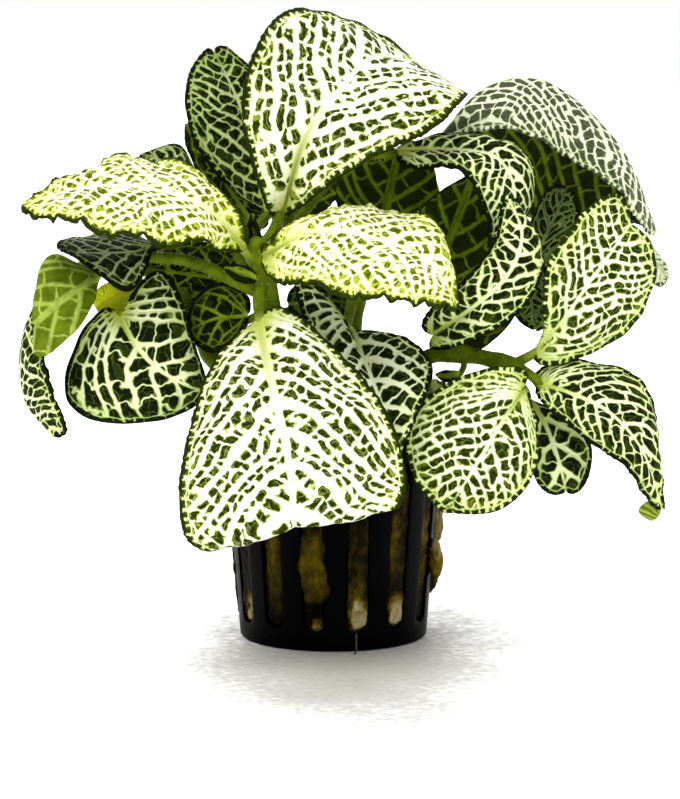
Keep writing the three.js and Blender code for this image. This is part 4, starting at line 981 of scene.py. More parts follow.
def net_field(tree, look, at):
    """Distance in millimetres to the edge of the nearest vein, and what the colours need besides."""
    broad, slow, middling, quick = (offsets(tree, size, detail) for size, detail in DRIFT_SIZES)
    index = at["index"]
    for drift, strength in zip((broad, slow, middling), COUNT_DRIFT):
        index = index + drift[0] * strength
    along = at["along"] + slow[1] * ALONG_DRIFT[0] + middling[1] * ALONG_DRIFT[1]
    edge = at["edge"] + slow[2] * MARGIN_DRIFT
    rows, rung_step = look["rows"], look["rung"]
    row = index * rows
    strip = row.math("FLOOR")

    thinning = FULL_VEIN - at["across"] * VEIN_TAPER
    lateral = index.math("PINGPONG", 0.5) * at["gap"] - thinning * look["lateral"]
    second = (row + middling[2] * SECOND_DRIFT).math("PINGPONG", 0.5) * at["gap"] / rows
    second = second - thinning * look["second"] + middling[1] * (look["ragged"] * 2)
    step = along / rung_step + strip * STRIP_SHIFT + (row - (strip + 0.5)) * (slow[2] * SLANT_DRIFT)
    rung = uneven_lines(tree, step, rung_step, RUNG_SCATTER) - thinning * look["rung_half"]
    net = lateral.math("MINIMUM", second).math("SMOOTH_MIN", rung, look["rounding"])

    place = tree.nodes.new("ShaderNodeCombineXYZ")
    wire(index * (2 * rows), place.inputs["X"])
    wire(step * 2, place.inputs["Y"])
    place = place.outputs["Vector"]
    fine = uneven_lines(tree, place, rung_step / 2, look["scatter"]) - look["fine_half"]
    cover = look["fine_cover"]
    bare = noise(tree, BARE_LUMPS, 0.0).fade(cover + BARE_SOFTNESS, cover - BARE_SOFTNESS)
    net = net.math("SMOOTH_MIN", fine + bare, FINE_ROUNDING)
    faint = fine.fade(0.0, FAINT_WIDTH) * middling[2].fade(*FAINT_PLACES)

    in_margin = (look["loop"] - edge).math("MAXIMUM", 0)
    past_margin = (edge - look["loop"]).math("MAXIMUM", 0)
    loop = (edge - (middling[1] + look["loop"])).math("ABSOLUTE") - look["loop_half"]
    comb = (at["perimeter"] + slow[0] * PERIMETER_DRIFT) / look["comb"]
    tooth = uneven_lines(tree, comb, look["comb"], 1.0) - look["tooth"]
    tooth = tooth + slow[1] * TOOTH_DRIFT[0] + middling[0] * TOOTH_DRIFT[1] + past_margin * MARGIN_SLOPE
    outline = loop.math("SMOOTH_MIN", tooth, MARGIN_ROUNDING)
    net = (net + in_margin * MARGIN_SLOPE).math("SMOOTH_MIN", outline, MARGIN_ROUNDING)
    net = net.math("MAXIMUM", quick[1] * RIM_DRIFT + look["rim"] - edge)

    taper = (1 - at["u"]).math("MAXIMUM", 0).math("POWER", MIDRIB_TAPER)
    midrib = at["middle"] - (taper * look["midrib"] + MIDRIB_LEAST)
    net = net.math("SMOOTH_MIN", midrib, MIDRIB_ROUNDING)
    net = net + quick[0] * look["ragged"] + middling[0] * (look["ragged"] / 2)
    return net, midrib, place, edge, faint


# %% [markdown]
# The colours are fades, each between two places: millimetres from the margin, from the midrib or from the
# edge of a vein, or shares of the blade from its base. The same distance, cut off at both ends, raises the
# veins above the cells. Where the blade begins, the veins take the green of its stalk.

# %% Upper side
OUTER_ZONE = (1.5, 6.0)
HEM_ZONE = (0.8, 1.6)
BASE_ZONE = (0.0, 0.4)
BASE_WIDTH = (0.3, 3.2)
NECK_REACH = 0.28
NECK_WIDTH = (-0.4, 0.45)
NECK_FOOT = (0.015, 0.11)
FAINT_STRENGTH = 0.35
FRINGE_ZONE = (-0.04, 0.13)
FLESH_ZONE = (0.12, 0.26)
CELL_ZONE = (0.22, 0.40)
RELIEF_RANGE = (-0.3, 0.6)
RELIEF_DEPTH = 0.6


def leaf_material(name, look):
    """The netted upper side of a leaf."""
    material, tree, shader = new_material(name)
    at = leaf_maps(tree)
    net, midrib, cell_place, edge, faint = net_field(tree, look, at)

    near_edge = edge.fade(*OUTER_ZONE)
    near_base = at["u"].fade(*BASE_ZONE) * midrib.fade(*BASE_WIDTH)
    neck = at["u"].fade(0.0, look.get("neck", NECK_REACH)) * midrib.fade(*NECK_WIDTH)
    neck = neck.math("MAXIMUM", at["u"].fade(*NECK_FOOT))
    vein = blend_colours(tree, near_edge, look["vein"], look["outer"])
    vein = blend_colours(tree, near_base, vein, look["base"])
    vein = blend_colours(tree, neck, vein, NECK_GREEN)

    chance = Amount(voronoi(tree, cell_place, feature="F1").outputs["Color"])
    often = near_edge * look["pale_rim"] + look["pale_share"]
    is_pale = chance.math("LESS_THAN", often) * edge.math("GREATER_THAN", look["loop"])
    cell = noise(tree, 0.7).colours((0.5, look["dark"]), (0.85, look["flesh"]))
    cell = blend_colours(tree, is_pale, cell, look["pale_cell"])
    cell = blend_colours(tree, faint * FAINT_STRENGTH, cell, look["fringe"])
    cell = blend_colours(tree, edge.fade(*HEM_ZONE), cell, look.get("hem", look["dark"]))

    colour = blend_colours(tree, net.fade(*FRINGE_ZONE), look["fringe"], vein)
    colour = blend_colours(tree, net.fade(*FLESH_ZONE), look["flesh"], colour)
    colour = blend_colours(tree, net.fade(*CELL_ZONE), cell, colour)
    coat(shader, colour, roughness=0.5, gloss=look["gloss"])
    relief = net.math("MAXIMUM", RELIEF_RANGE[0]).math("MINIMUM", RELIEF_RANGE[1])
    bump(shader, relief, depth_mm=RELIEF_DEPTH, strength=0.7)
    return material


leaf_materials = {net: leaf_material(f"leaf_{net}_net", look) for net, look in LOOKS.items()}
print("upper finishes:", sorted(leaf_materials))

# %% [markdown]
# The underside is plain green. Its net is only the midrib, the side veins and their rungs, a little lighter
# than the flesh between them.

# %% Underside
UNDER_DRIFT = (0.3, 3.0)
UNDER_LATERAL = 0.14
UNDER_RUNG_FAINTNESS = 0.05
UNDER_MIDRIB = 0.5
UNDER_ROUNDING = 0.6


def underside_material(name, flesh, vein, rung_step=4.4):
    """The plain green underside, where the veins stand out a little lighter."""
    material, tree, shader = new_material(name)
    at = leaf_maps(tree)
    slow = offsets(tree, 3.0)
    index = at["index"] + slow[0] * UNDER_DRIFT[0]
    along = at["along"] + slow[1] * UNDER_DRIFT[1]
    lateral = index.math("PINGPONG", 0.5) * at["gap"] - UNDER_LATERAL
    step = along / rung_step + index.math("FLOOR") * STRIP_SHIFT
    rung = uneven_lines(tree, step, rung_step, 0.8) + UNDER_RUNG_FAINTNESS
    midrib = at["middle"] - UNDER_MIDRIB
    near = lateral.math("MINIMUM", rung).math("SMOOTH_MIN", midrib, UNDER_ROUNDING)
    colour = near.colours((0.0, vein), (0.14, vein), (0.52, flesh))
    mottle = noise(tree, 2.2).colours((0.3, (0.6, 0.6, 0.6)), (0.75, (1.2, 1.2, 1.2)))
    mottled = blend_colours(tree, 1.0, colour, mottle, "MULTIPLY")
    coat(shader, mottled, roughness=0.55, gloss=0.04)
    bump(shader, near.math("MINIMUM", 1.0), depth_mm=-0.4, strength=0.7)
    return material


# The lit underside is painted light: a brighter copy of the plain one for undersides that hang in the light.
# The yellow one is partly painted light shining through its leaf.
undersides = {
    "plain": underside_material("leaf_underside", (0.018, 0.029, 0.001), (0.17, 0.24, 0.008), 6.0),
    "lit": underside_material("leaf_underside_lit", (0.125, 0.180, 0.004), (0.36, 0.47, 0.07), 5.0),
    "yellow": underside_material("leaf_underside_yellow", (0.78, 0.83, 0.004), (0.86, 0.90, 0.02)),
}
print("undersides:", sorted(undersides))

# %% [markdown]
# ## Green shoots
# Stems and stalks are soft, yellow-green and covered in fine white hairs. Their finish is a slow change
# between two greens, and their relief a faint grain. The last few millimetres of a pale leaf's stalk turn
# paler, to the green in which its blade begins.

# %% Stem finish
def stem_material(name, light, deep, tip):
    """Soft yellow-green skin with slow mottling and a fine grain, paler where a stalk meets its blade."""
    material, tree, shader = new_material(name)
    colour = noise(tree, 3.5, 3.0).colours((0.3, deep), (0.7, light))
    near_blade = leaf_maps(tree)["u"].fade(1.0, 0.5)
    coat(shader, blend_colours(tree, near_blade, colour, tip), roughness=0.5, gloss=0.05)
    bump(shader, noise(tree, 0.5, 3.0), depth_mm=0.12, strength=0.7)
    return material


stem_skin = stem_material("stem_skin", (0.145, 0.205, 0.002), (0.060, 0.090, 0.001), (0.145, 0.205, 0.002))
stalk_skin = stem_material("stalk_skin", (0.155, 0.215, 0.003), (0.064, 0.096, 0.001), NECK_GREEN)
print("stem finishes:", stem_skin.name, stalk_skin.name)

# %% [markdown]
# ## Rods along a path
# A stem is a rod that swells where leaves sit. A poly curve through sampled points takes a radius at each
# point, and its round bevel gives the skin. Converting it leaves a closed mesh with round ends.

# %% Rods
def rod(path, radii, roundness=3):
    """A round rod along a path in millimetres, with its own radius at each point."""
    clear_selection()
    bpy.ops.curve.primitive_nurbs_path_add(radius=MM)
    piece = bpy.context.object
    piece.location = (0, 0, 0)
    curve = piece.data
    curve.splines.clear()
    spline = curve.splines.new("POLY")
    spline.points.add(len(path) - 1)
    spline.points.foreach_set("co", np.hstack([path * MM, np.ones((len(path), 1))]).ravel())
    spline.points.foreach_set("radius", np.array(radii, float))
    curve.bevel_depth = MM
    curve.bevel_resolution = roundness
    curve.use_fill_caps = True
    bpy.ops.object.convert(target="MESH")
    bpy.ops.object.shade_smooth()
    return bpy.context.object


STEMS = {
    "main_stem": (2.25, (
        (-6.2, 1, 30.5), (-7.5, 0, 41), (-9.7, -2, 52.6), (-12.6, -5, 66.6), (-14.5, -7, 76.9),
        (-15.8, -8, 85.5), (-16.9, -8, 91.3),
    )),
    "left_stem": (1.85, (
        (-6.2, 8, 29.4), (-8, 7, 39.9), (-16.1, 4, 51.1), (-25.1, 2, 59.8), (-29.7, 1, 67.4),
        (-33.1, 2, 73.6), (-35.1, 2, 78.4),
    )),
    "back_stem": (1.95, (
        (2.9, 7, 29.5), (3.8, 7, 39.9), (4.7, 6, 54.9), (4.7, 5, 69.9), (6.5, 6, 79.5),
        (14, 12, 85.7), (24.3, 18, 88.3), (35.8, 21, 86.6), (43.6, 20, 83.2),
    )),
    "right_branch": (1.85, (
        (6.5, 1, 30.5), (7.8, 1, 40.8), (11.8, -1, 51.8), (16.3, -3, 59.8), (20.3, -4, 63.3),
        (25.6, -5, 64.8), (33.8, -6, 63.8), (42.7, -8, 61.1),
    )),
}
BETWEEN_NODES = 0.94
NODE_SWELL = 0.26
NODE_SPREAD = 2.2
STEM_END = (0.9, 0.7, 0.4)
STEM_SAMPLES = 90
JOINT_REACH = 1.0
hair_roots = []


def joints_near(path):
    """Where leaf stalks spring from this path, as distances along it."""
    run = run_along(path)
    places = []
    for leaf in LEAVES.values():
        gaps = np.linalg.norm(path - np.array(leaf["petiole"][0]), axis=1)
        if gaps.min() < JOINT_REACH:
            places.append(run[gaps.argmin()])
    return run, places


for stem_name, (radius, points) in STEMS.items():
    path = smooth_path(points, np.linspace(0, 1, STEM_SAMPLES))
    run, places = joints_near(path)
    swell = sum(np.exp(-(((run - place) / NODE_SPREAD) ** 2)) for place in places)
    radii = radius * (BETWEEN_NODES + NODE_SWELL * np.minimum(swell, 1))
    radii[-len(STEM_END):] *= STEM_END
    stem = rod(path, radii)
    stem.data.materials.append(stem_skin)
    hair_roots.append((path, radii, 1.0))
    hand_over(stem, stem_name + "_skin", [stem_name])

# %% [markdown]
# ## One leaf from a grid
# A plane grid is the sheet of paper that the leaf is cut from: its two directions become u and v, and its
# points move to the blade's form. Its rows stand closer at the base and at the tip, where the outline turns
# fastest.

# %% Leaf grid
GRID_STEP = 0.55
ROW_LIMITS = (24, 130)
HALF_COLUMN_LIMITS = (10, 46)
CROWDING = 0.75


def leaf_grid(leaf, length):
    """A plane grid, its u and v at each point, and its rows and columns."""
    rows = int(np.clip(length / GRID_STEP, *ROW_LIMITS))
    cols = 2 * int(np.clip(half_width(leaf) / GRID_STEP, *HALF_COLUMN_LIMITS))
    clear_selection()
    bpy.ops.mesh.primitive_grid_add(x_subdivisions=cols, y_subdivisions=rows, size=2)
    flat = points_of(bpy.context.object.data)
    v = flat[:, 0]
    across = len(np.unique(np.round(v, 5)))
    t = (flat[:, 1] + 1) / 2
    share = CROWDING * (1 - np.cos(np.pi * t)) / 2 + (1 - CROWDING) * t
    u = BLADE_END + (1 - 2 * BLADE_END) * share
    return bpy.context.object, u, v, (len(v) // across, across)


# %% [markdown]
# The midrib and side veins are pressed in from above and stand out below, and the margin has small round
# teeth, which grow into a frill on the palest leaves. All relief is less on a small leaf.

# %% Leaf relief
VEIN_PRESS = 0.28
VEIN_WIDTH = 0.8
MIDRIB_PRESS = 0.45
MIDRIB_WIDTH = 0.9
FLAT_MARGIN = 2.5
CRINKLE = 0.3
CRINKLE_LENGTH = 9
TOOTH_LENGTH = 1.7
TOOTH_DEPTH = 0.28
FRILL_LENGTH = 5.2
FRILL_DEPTH = 1.0
FRILL_LIFT = 0.6
FRILL_DRIFT = (1.1, 0.9)
FRILL_SHARPNESS = 0.7
TOOTH_NARROWNESS = 12
FRILL_NARROWNESS = 9
LIFT_NARROWNESS = 5


def pressed(from_vein, middle, edge, u):
    """How far the veins are pressed in, from the distances to a side vein, the midrib and the margin."""
    inner = np.clip(edge / FLAT_MARGIN, 0, 1)
    press = VEIN_PRESS * np.exp(-((from_vein / VEIN_WIDTH) ** 2)) * inner
    midrib = MIDRIB_PRESS * np.exp(-((middle / MIDRIB_WIDTH) ** 2)) * (1 - u) ** 0.5 * inner
    return np.maximum(press, midrib)


def frilled(leaf, v, run, sway, scale):
    """How deep the margin is notched, and how far it is lifted there."""
    out = np.abs(v)
    tooth = TOOTH_DEPTH * scale * out**TOOTH_NARROWNESS * np.abs(np.sin(np.pi * run / TOOTH_LENGTH))
    if leaf["net"] != "pale":
        return tooth, 0
    shift, wave = FRILL_DRIFT
    turn = np.pi * (run + shift * np.sin(run * wave + sway)) / FRILL_LENGTH
    notch = FRILL_DEPTH * out**FRILL_NARROWNESS * (1 - np.abs(np.sin(turn)) ** FRILL_SHARPNESS)
    return tooth + notch, FRILL_LIFT * out**LIFT_NARROWNESS * np.cos(2 * turn)


# %% [markdown]
# Solidify gives the sheet its thickness, with the underside in its own finish. The UV maps keep the vein
# coordinates, and every leaf, and either half of it, reads another part of the noise through its own seed.

# %% Blade
BLADE_THICKNESS = 0.5
FULL_SIZE = 60
RELIEF_GROWTH = 1.4
LEAST_RELIEF = 0.3
LEAST_REACH = 0.5
SWAY_STEP = 1.7
LEAF_SEED = 40
HALF_SEED = 20


def write_maps(mesh, columns):
    """Writes each named pair of per-corner numbers as a UV map."""
    for name, pair in columns.items():
        layer = mesh.uv_layers.get(name) or mesh.uv_layers.new(name=name)
        layer.data.foreach_set("uv", np.stack(pair, axis=1).astype(np.float32).ravel())


def blade(leaf, length, number):
    """The netted blade of one leaf as a closed mesh."""
    piece, u, v, shape = leaf_grid(leaf, length)
    mesh = piece.data
    sway = SWAY_STEP * number
    scale = length / FULL_SIZE
    index, along, middle = vein_coordinates(leaf, u, v, length, sway)
    points = blade_point(leaf, u, v)
    gap = spacing(points, index, shape)
    (left_gap, left_run), (right_gap, right_run) = (margin_distance(points, leaf, side) for side in (-1, 1))
    edge = np.minimum(left_gap, right_gap)
    press = pressed(np.abs(index - np.round(index)) * gap, middle, edge, u)
    crinkle = np.sin(2 * np.pi * (left_run + right_run) / CRINKLE_LENGTH + sway + (v < 0))
    tooth, frill = frilled(leaf, v, np.where(v < 0, left_run, right_run), sway, scale)
    relief = np.clip(scale * RELIEF_GROWTH, LEAST_RELIEF, 1)
    lift = (CRINKLE * v**2 * crinkle + frill - press) * relief
    reach = np.maximum(middle, LEAST_REACH)
    points = blade_point(leaf, u, v * (1 - tooth / reach), lift)
    mesh.vertices.foreach_set("co", (points * MM).ravel())

    corner = corners_of(mesh)
    is_left = v[corner].reshape(-1, 4).mean(axis=1).repeat(4) < 0
    seed = LEAF_SEED * number + np.where(is_left, HALF_SEED, 0)
    write_maps(mesh, {
        "net": (index[corner] + seed, along[corner] + seed),
        "rim": (np.where(is_left, left_run[corner], right_run[corner]), edge[corner]),
        "blade": (u[corner], np.abs(v)[corner]),
        "span": (gap[corner], middle[corner]),
    })
    net = leaf["net"]
    below = undersides[leaf.get("below", "yellow" if net == "yellow" else "plain")]
    for finish in (leaf_materials[net], below, stalk_skin):
        mesh.materials.append(finish)
    apply_modifier(piece, "SOLIDIFY", thickness=BLADE_THICKNESS * MM, offset=0, material_offset=1)
    bpy.ops.object.shade_smooth()
    return piece


# %% [markdown]
# The stalk is a rod that runs on beneath the midrib and thins out to the tip. Its u map is 1 where it meets a
# pale blade and falls to 0 along the stalk, and the finish reads that as its paler neck.

# %% Stalk
UNDER_BLADE = (0.02, 0.12, 0.35, 0.6, 0.85)
UNDER_DEPTH = (0.95, 0.9, 0.6, 0.4, 0.25)
STALK_POINTS = 60
STALK_TAPER = (1.1, 0.9, 0.75, 0.15)
TAPER_STEP = 0.2
STALK_HAIR = 0.8
PALE_NECK = 9
NECK_END = 1.5
PALE_SLOTS = {
    "white": "leaf_white_net", "crown": "leaf_white_net",
    "pale": "leaf_pale_net", "bright": "leaf_pale_net",
}


def stalk(leaf):
    """The stalk, from inside its stem to the thin end of the midrib below the blade."""
    thick = leaf["stalk"]
    count = 2 if "below" in leaf else len(UNDER_BLADE)
    sunk = np.array(UNDER_BLADE[:count])
    depth = np.array(UNDER_DEPTH[:count]) * thick
    below = blade_point(leaf, sunk, np.zeros_like(sunk), -depth - MIDRIB_PRESS)
    points = np.vstack([leaf["petiole"], below])
    share = np.linspace(0, 1, STALK_POINTS)
    path = smooth_path(points, share)
    free = len(leaf["petiole"]) / (len(points) - 1)
    radii = np.interp(share, [0, free, free + TAPER_STEP, 1], np.array(STALK_TAPER) * thick)
    piece = rod(path, radii, 2)
    mesh = piece.data
    mesh.materials.append(stalk_skin)
    skin = points_of(mesh) / MM
    nearest = np.linalg.norm(skin[:, None, :] - path[None, :, :], axis=2).argmin(axis=1)
    run = run_along(path)
    foot = np.interp(free, share, run)
    neck = 1 if leaf["net"] in PALE_SLOTS else 0
    place = np.interp(run[nearest], [foot - PALE_NECK, foot, foot + NECK_END], [0, neck, 0])[corners_of(mesh)]
    write_maps(mesh, {"blade": (place, np.zeros_like(place))})
    on_stalk = share < free
    hair_roots.append((path[on_stalk], radii[on_stalk], STALK_HAIR))
    return piece


# %% [markdown]
# One leaf's tip has curled up into a small round hood that shows its underside in the lit finish, whose
# brighter green is painted light: a ball drawn into the shape of an egg, with maps that fan a few veins over
# it.
# Then every leaf is made, joined and handed over.

# %% Leaves
HOOD_SIZE = (2.5, 1.1, 2.5)
HOOD_TAPER = ((-1, 0.2, 1), (0.55, 1.0, 0.9))
HOOD_FAN = 2.6


def curled_tip(centre):
    """The small rolled end of a leaf."""
    clear_selection()
    bpy.ops.mesh.primitive_uv_sphere_add(segments=32, ring_count=20, radius=MM)
    piece = bpy.context.object
    mesh = piece.data
    ball = points_of(mesh) / MM
    wide, deep, tall = HOOD_SIZE
    slim = np.interp(ball[:, :1], *HOOD_TAPER)
    grown = ball * np.hstack([np.full_like(slim, wide), deep * slim, tall * slim])
    mesh.vertices.foreach_set("co", ((grown + centre) * MM).ravel())
    around = HOOD_FAN * np.arctan2(ball[:, 2] + 0.8, ball[:, 0] - 1.1)[corners_of(mesh)]
    level = np.full_like(around, 0.5)
    maps = {"net": (around, 4 + level), "blade": (0 * level, level), "span": (4 * level, 8 * level)}
    write_maps(mesh, maps)
    mesh.materials.append(undersides["lit"])
    bpy.ops.object.shade_smooth()
    return piece


for number, (leaf_name, leaf) in enumerate(LEAVES.items()):
    piece = blade(leaf, LEAF_LENGTHS[leaf_name], number)
    parts = [piece, stalk(leaf)]
    if "curl" in leaf:
        parts.append(curled_tip(leaf["curl"]))
    select_only(*parts)
    bpy.ops.object.join()
    hand_over(piece, leaf_name + "_fine", [leaf_name])

# %% [markdown]
# ## Fine white hairs
# Stems and stalks are softly hairy. One hair is a cone of three sides. It is copied all over the rods by a
# seeded draw, each copy leaning its own way.

# %% Hairs
HAIR_LENGTH = 0.9
HAIR_RADIUS = 0.032
HAIRS_PER_MM = 6
HAIR_LEAN = 0.25
HAIR_FOOT = 0.96
HAIR_LENGTHS = (0.5, 1.2)
rng = np.random.default_rng(7)


def hair_mesh():
    """The corner points and faces of one upright hair, 1 long."""
    clear_selection()
    bpy.ops.mesh.primitive_cone_add(vertices=3, radius1=1, radius2=0, depth=1, location=(0, 0, 0.5))
    cone = bpy.context.object
    apply_place(cone)
    faces = [tuple(f.vertices) for f in cone.data.polygons if len(f.vertices) == 3 and f.normal.z > -0.9]
    points = points_of(cone.data)
    bpy.data.objects.remove(cone)
    return points, faces


def unit(direction):
    """The same direction with length 1."""
    return direction / np.linalg.norm(direction)


def frames_along(path):
    """A tangent and two directions square to it, at each point of a path."""
    tangent = np.gradient(path, axis=0)
    tangent /= np.linalg.norm(tangent, axis=1)[:, None]
    helper = np.where(np.abs(tangent[:, 2:3]) > 0.9, (1.0, 0, 0), (0, 0, 1.0))
    side = np.cross(tangent, helper)
    side /= np.linalg.norm(side, axis=1)[:, None]
    return tangent, side, np.cross(tangent, side)


hair_points, hair_faces = hair_mesh()
all_points, all_faces = [], []
for path, radii, density in hair_roots:
    tangent, side, up = frames_along(path)
    length = np.linalg.norm(np.diff(path, axis=0), axis=1).sum()
    for _ in range(int(length * HAIRS_PER_MM * density)):
        i = rng.integers(2, len(path) - 1)
        angle = rng.uniform(0, 2 * math.pi)
        out = math.cos(angle) * side[i] + math.sin(angle) * up[i]
        axis = unit(out + rng.normal(0, HAIR_LEAN, 3))
        square = unit(np.cross(axis, tangent[i]))
        third = np.cross(axis, square)
        foot = path[i] + out * radii[i] * HAIR_FOOT
        tall = HAIR_LENGTH * rng.uniform(*HAIR_LENGTHS)
        width = HAIR_RADIUS * hair_points[:, :2]
        placed = foot + width[:, :1] * square + width[:, 1:] * third + tall * hair_points[:, 2:] * axis
        first = len(all_points) * len(hair_points)
        all_points.append(placed)
        all_faces += [tuple(first + k for k in face) for face in hair_faces]

hair_data = bpy.data.meshes.new("fine_hairs")
hair_data.from_pydata((np.vstack(all_points) * MM).tolist(), [], all_faces)
hairs = put_in_scene("fine_hairs", hair_data)
hair_finish, hair_tree, hair_shader = new_material("hair_white")
hair_tones = (0.3, (0.36, 0.44, 0.14)), (0.7, (0.74, 0.80, 0.52))
coat(hair_shader, noise(hair_tree, 6.0).colours(*hair_tones), roughness=0.6)
hair_data.materials.append(hair_finish)
hand_over(hairs, "fine_hairs", ())

# %% [markdown]
# ## The net pot
# The pot is one thin moulding in black plastic: a tapered cup with a rolled rim and upright slots with round
# ends. A profile turned round the axis makes the cup. One slot cutter is shaped, copied round, and cut away
# with a boolean, and a narrow bevel then rounds every edge, because moulded plastic has no sharp ones.

# %% Pot
POT_HEIGHT = 48
BASE_RADIUS = 21
TOP_RADIUS = 25
RIM_RADIUS = 26.6
RIM_HEIGHT = 1.6
WALL = 1.3
SLOT_COUNT = 14
SLOT_WIDTH = 5.2
SLOT_LOW = 4.5
SLOT_HIGH = 42
SLOT_FIRST = math.radians(14)
TURN_STEPS = 8 * SLOT_COUNT
DRAIN_COUNT = 8
DRAIN_WIDTH = 3.4
DRAIN_INNER = 8
DRAIN_OUTER = 17
EDGE_ROUNDING = 0.28


def pot_radius(z):
    """The pot's outer radius at height z."""
    return BASE_RADIUS + (TOP_RADIUS - BASE_RADIUS) * z / POT_HEIGHT


def turned(profile, steps):
    """Spins a profile of (radius, height) points in millimetres into a closed body."""
    clear_selection()
    mesh = bpy.data.meshes.new("turned")
    points = [(r * MM, 0, z * MM) for r, z in profile]
    mesh.from_pydata(points, [(i, i + 1) for i in range(len(points) - 1)], [])
    piece = put_in_scene("turned", mesh)
    select_only(piece)
    bpy.ops.object.mode_set(mode="EDIT")
    bpy.ops.mesh.select_all(action="SELECT")
    bpy.ops.mesh.spin(steps=steps, angle=2 * math.pi, center=(0, 0, 0), axis=(0, 0, 1))
    bpy.ops.mesh.select_all(action="SELECT")
    bpy.ops.mesh.remove_doubles(threshold=1e-6)
    bpy.ops.mesh.normals_make_consistent(inside=False)
    bpy.ops.object.mode_set(mode="OBJECT")
    return piece


def slot_cutter(width, low, high, near, far, upright):
    """A round-ended bar: it spans low to high, and pushes through from near to far."""
    clear_selection()
    bpy.ops.mesh.primitive_circle_add(vertices=32, radius=width / 2 * MM, fill_type="NGON")
    cutter = bpy.context.object
    for point in cutter.data.vertices:
        shift = (high - width / 2) if point.co.y > 1e-7 else (low + width / 2)
        point.co.y += shift * MM
    bpy.ops.object.mode_set(mode="EDIT")
    bpy.ops.mesh.select_all(action="SELECT")
    bpy.ops.mesh.extrude_region_move(TRANSFORM_OT_translate={"value": (0, 0, (far - near) * MM)})
    bpy.ops.mesh.select_all(action="SELECT")
    bpy.ops.mesh.normals_make_consistent(inside=False)
    bpy.ops.object.mode_set(mode="OBJECT")
    if upright:
        cutter.rotation_euler.x = math.pi / 2
        cutter.location.y = -near * MM
    else:
        cutter.location.z = near * MM
        cutter.rotation_euler.z = math.pi
    apply_place(cutter)
    return cutter


def copies_round(piece, count, first):
    """Copies of a piece turned round the pot's axis, joined in one mesh."""
    turned_copies = []
    for i in range(count):
        copy = put_in_scene(piece.name, piece.data.copy())
        copy.rotation_euler.z = first + i * 2 * math.pi / count
        turned_copies.append(copy)
    bpy.data.objects.remove(piece)
    select_only(*turned_copies)
    bpy.ops.object.join()
    joined = bpy.context.object
    apply_place(joined)
    return joined


rim_foot = POT_HEIGHT - RIM_HEIGHT
pot = turned([
    (0, 0), (BASE_RADIUS - 0.9, 0), (BASE_RADIUS - 0.35, 0.12), (pot_radius(0.7), 0.7),
    (pot_radius(3.4), 3.4), (pot_radius(rim_foot), rim_foot),
    (RIM_RADIUS - 0.25, rim_foot + 0.15), (RIM_RADIUS, rim_foot + 0.5), (RIM_RADIUS, POT_HEIGHT - 0.5),
    (RIM_RADIUS - 0.3, POT_HEIGHT - 0.1), (RIM_RADIUS - 0.8, POT_HEIGHT),
    (TOP_RADIUS - WALL + 0.2, POT_HEIGHT), (TOP_RADIUS - WALL, POT_HEIGHT - 0.25),
    (pot_radius(WALL) - WALL, WALL + 0.2), (pot_radius(WALL) - WALL - 0.4, WALL), (0, WALL),
], TURN_STEPS)
slots = slot_cutter(SLOT_WIDTH, SLOT_LOW, SLOT_HIGH, near=10, far=RIM_RADIUS + 4, upright=True)
slots = copies_round(slots, SLOT_COUNT, SLOT_FIRST)
drains = slot_cutter(DRAIN_WIDTH, DRAIN_INNER, DRAIN_OUTER, near=-2, far=4, upright=False)
drains = copies_round(drains, DRAIN_COUNT, 0)
for cutter in (slots, drains):
    apply_modifier(pot, "BOOLEAN", object=cutter, operation="DIFFERENCE", solver="EXACT")
    bpy.data.objects.remove(cutter)
apply_modifier(
    pot, "BEVEL", width=EDGE_ROUNDING * MM, segments=2, limit_method="ANGLE", angle_limit=math.radians(40)
)
select_only(pot)
bpy.ops.object.shade_smooth_by_angle(angle=math.radians(35))

pot_finish, pot_tree, pot_shader = new_material("pot_plastic_black")
pot_tones = (0.35, (0.0004, 0.0004, 0.0005)), (0.8, (0.0012, 0.0012, 0.0014))
pot_roughness = noise(pot_tree, 5.0, 3.0).remap(0, 1, 0.22, 0.5)
coat(pot_shader, noise(pot_tree, 9.0, 4.0).colours(*pot_tones), pot_roughness, gloss=0.015)
bump(pot_shader, noise(pot_tree, 1.4, 4.0), depth_mm=0.06, strength=0.5)
pot.data.materials.append(pot_finish)
hand_over(pot, "net_pot_moulded", ["net_pot"])

# %% [markdown]
# ## Wet rock wool
# Rock wool is a felt of fibres, and wet it is ochre to dark brown. It swells out of the slots in soft lumps.
# A copy of the plain plug is merged, and a few tufts that hang out furthest are set into it, each given by
# its centre and its half sizes. A voxel remesh turns them all into one even skin of small faces, and two
# displacements roughen it, a broad one for the lumps and a fine one for the felt.

# %% Rock wool
WOOL_TUFTS = (
    ((-4.6, -23.0, 23.5), (2.7, 0.8, 5.0)), ((-5.4, -22.9, 20.0), (2.6, 0.8, 3.6)),
    ((-4.2, -22.8, 17.0), (2.9, 0.9, 4.6)), ((-3.4, -22.8, 14.2), (2.8, 1.0, 3.2)),
    ((23.0, -4.5, 17.2), (1.8, 2.6, 3.6)), ((22.9, -5.5, 20.2), (1.3, 2.2, 3.0)),
)
WOOL_LUMPS = ((3.2, 0.9), (0.9, 0.35))
VOXEL = 0.62
wool = put_in_scene("wool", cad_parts["rock_wool_plug"].data.copy())
select_only(wool)
bpy.ops.object.mode_set(mode="EDIT")
bpy.ops.mesh.select_all(action="SELECT")
bpy.ops.mesh.remove_doubles(threshold=1e-6)
bpy.ops.object.mode_set(mode="OBJECT")
wool_parts = [wool]
for centre, half_sizes in WOOL_TUFTS:
    clear_selection()
    bpy.ops.mesh.primitive_uv_sphere_add(segments=24, ring_count=16, radius=MM)
    tuft = bpy.context.object
    tuft.scale = half_sizes
    tuft.location = Vector(centre) * MM
    apply_place(tuft)
    wool_parts.append(tuft)
select_only(*wool_parts)
bpy.ops.object.join()
wool.data.remesh_voxel_size = VOXEL * MM
bpy.ops.object.voxel_remesh()
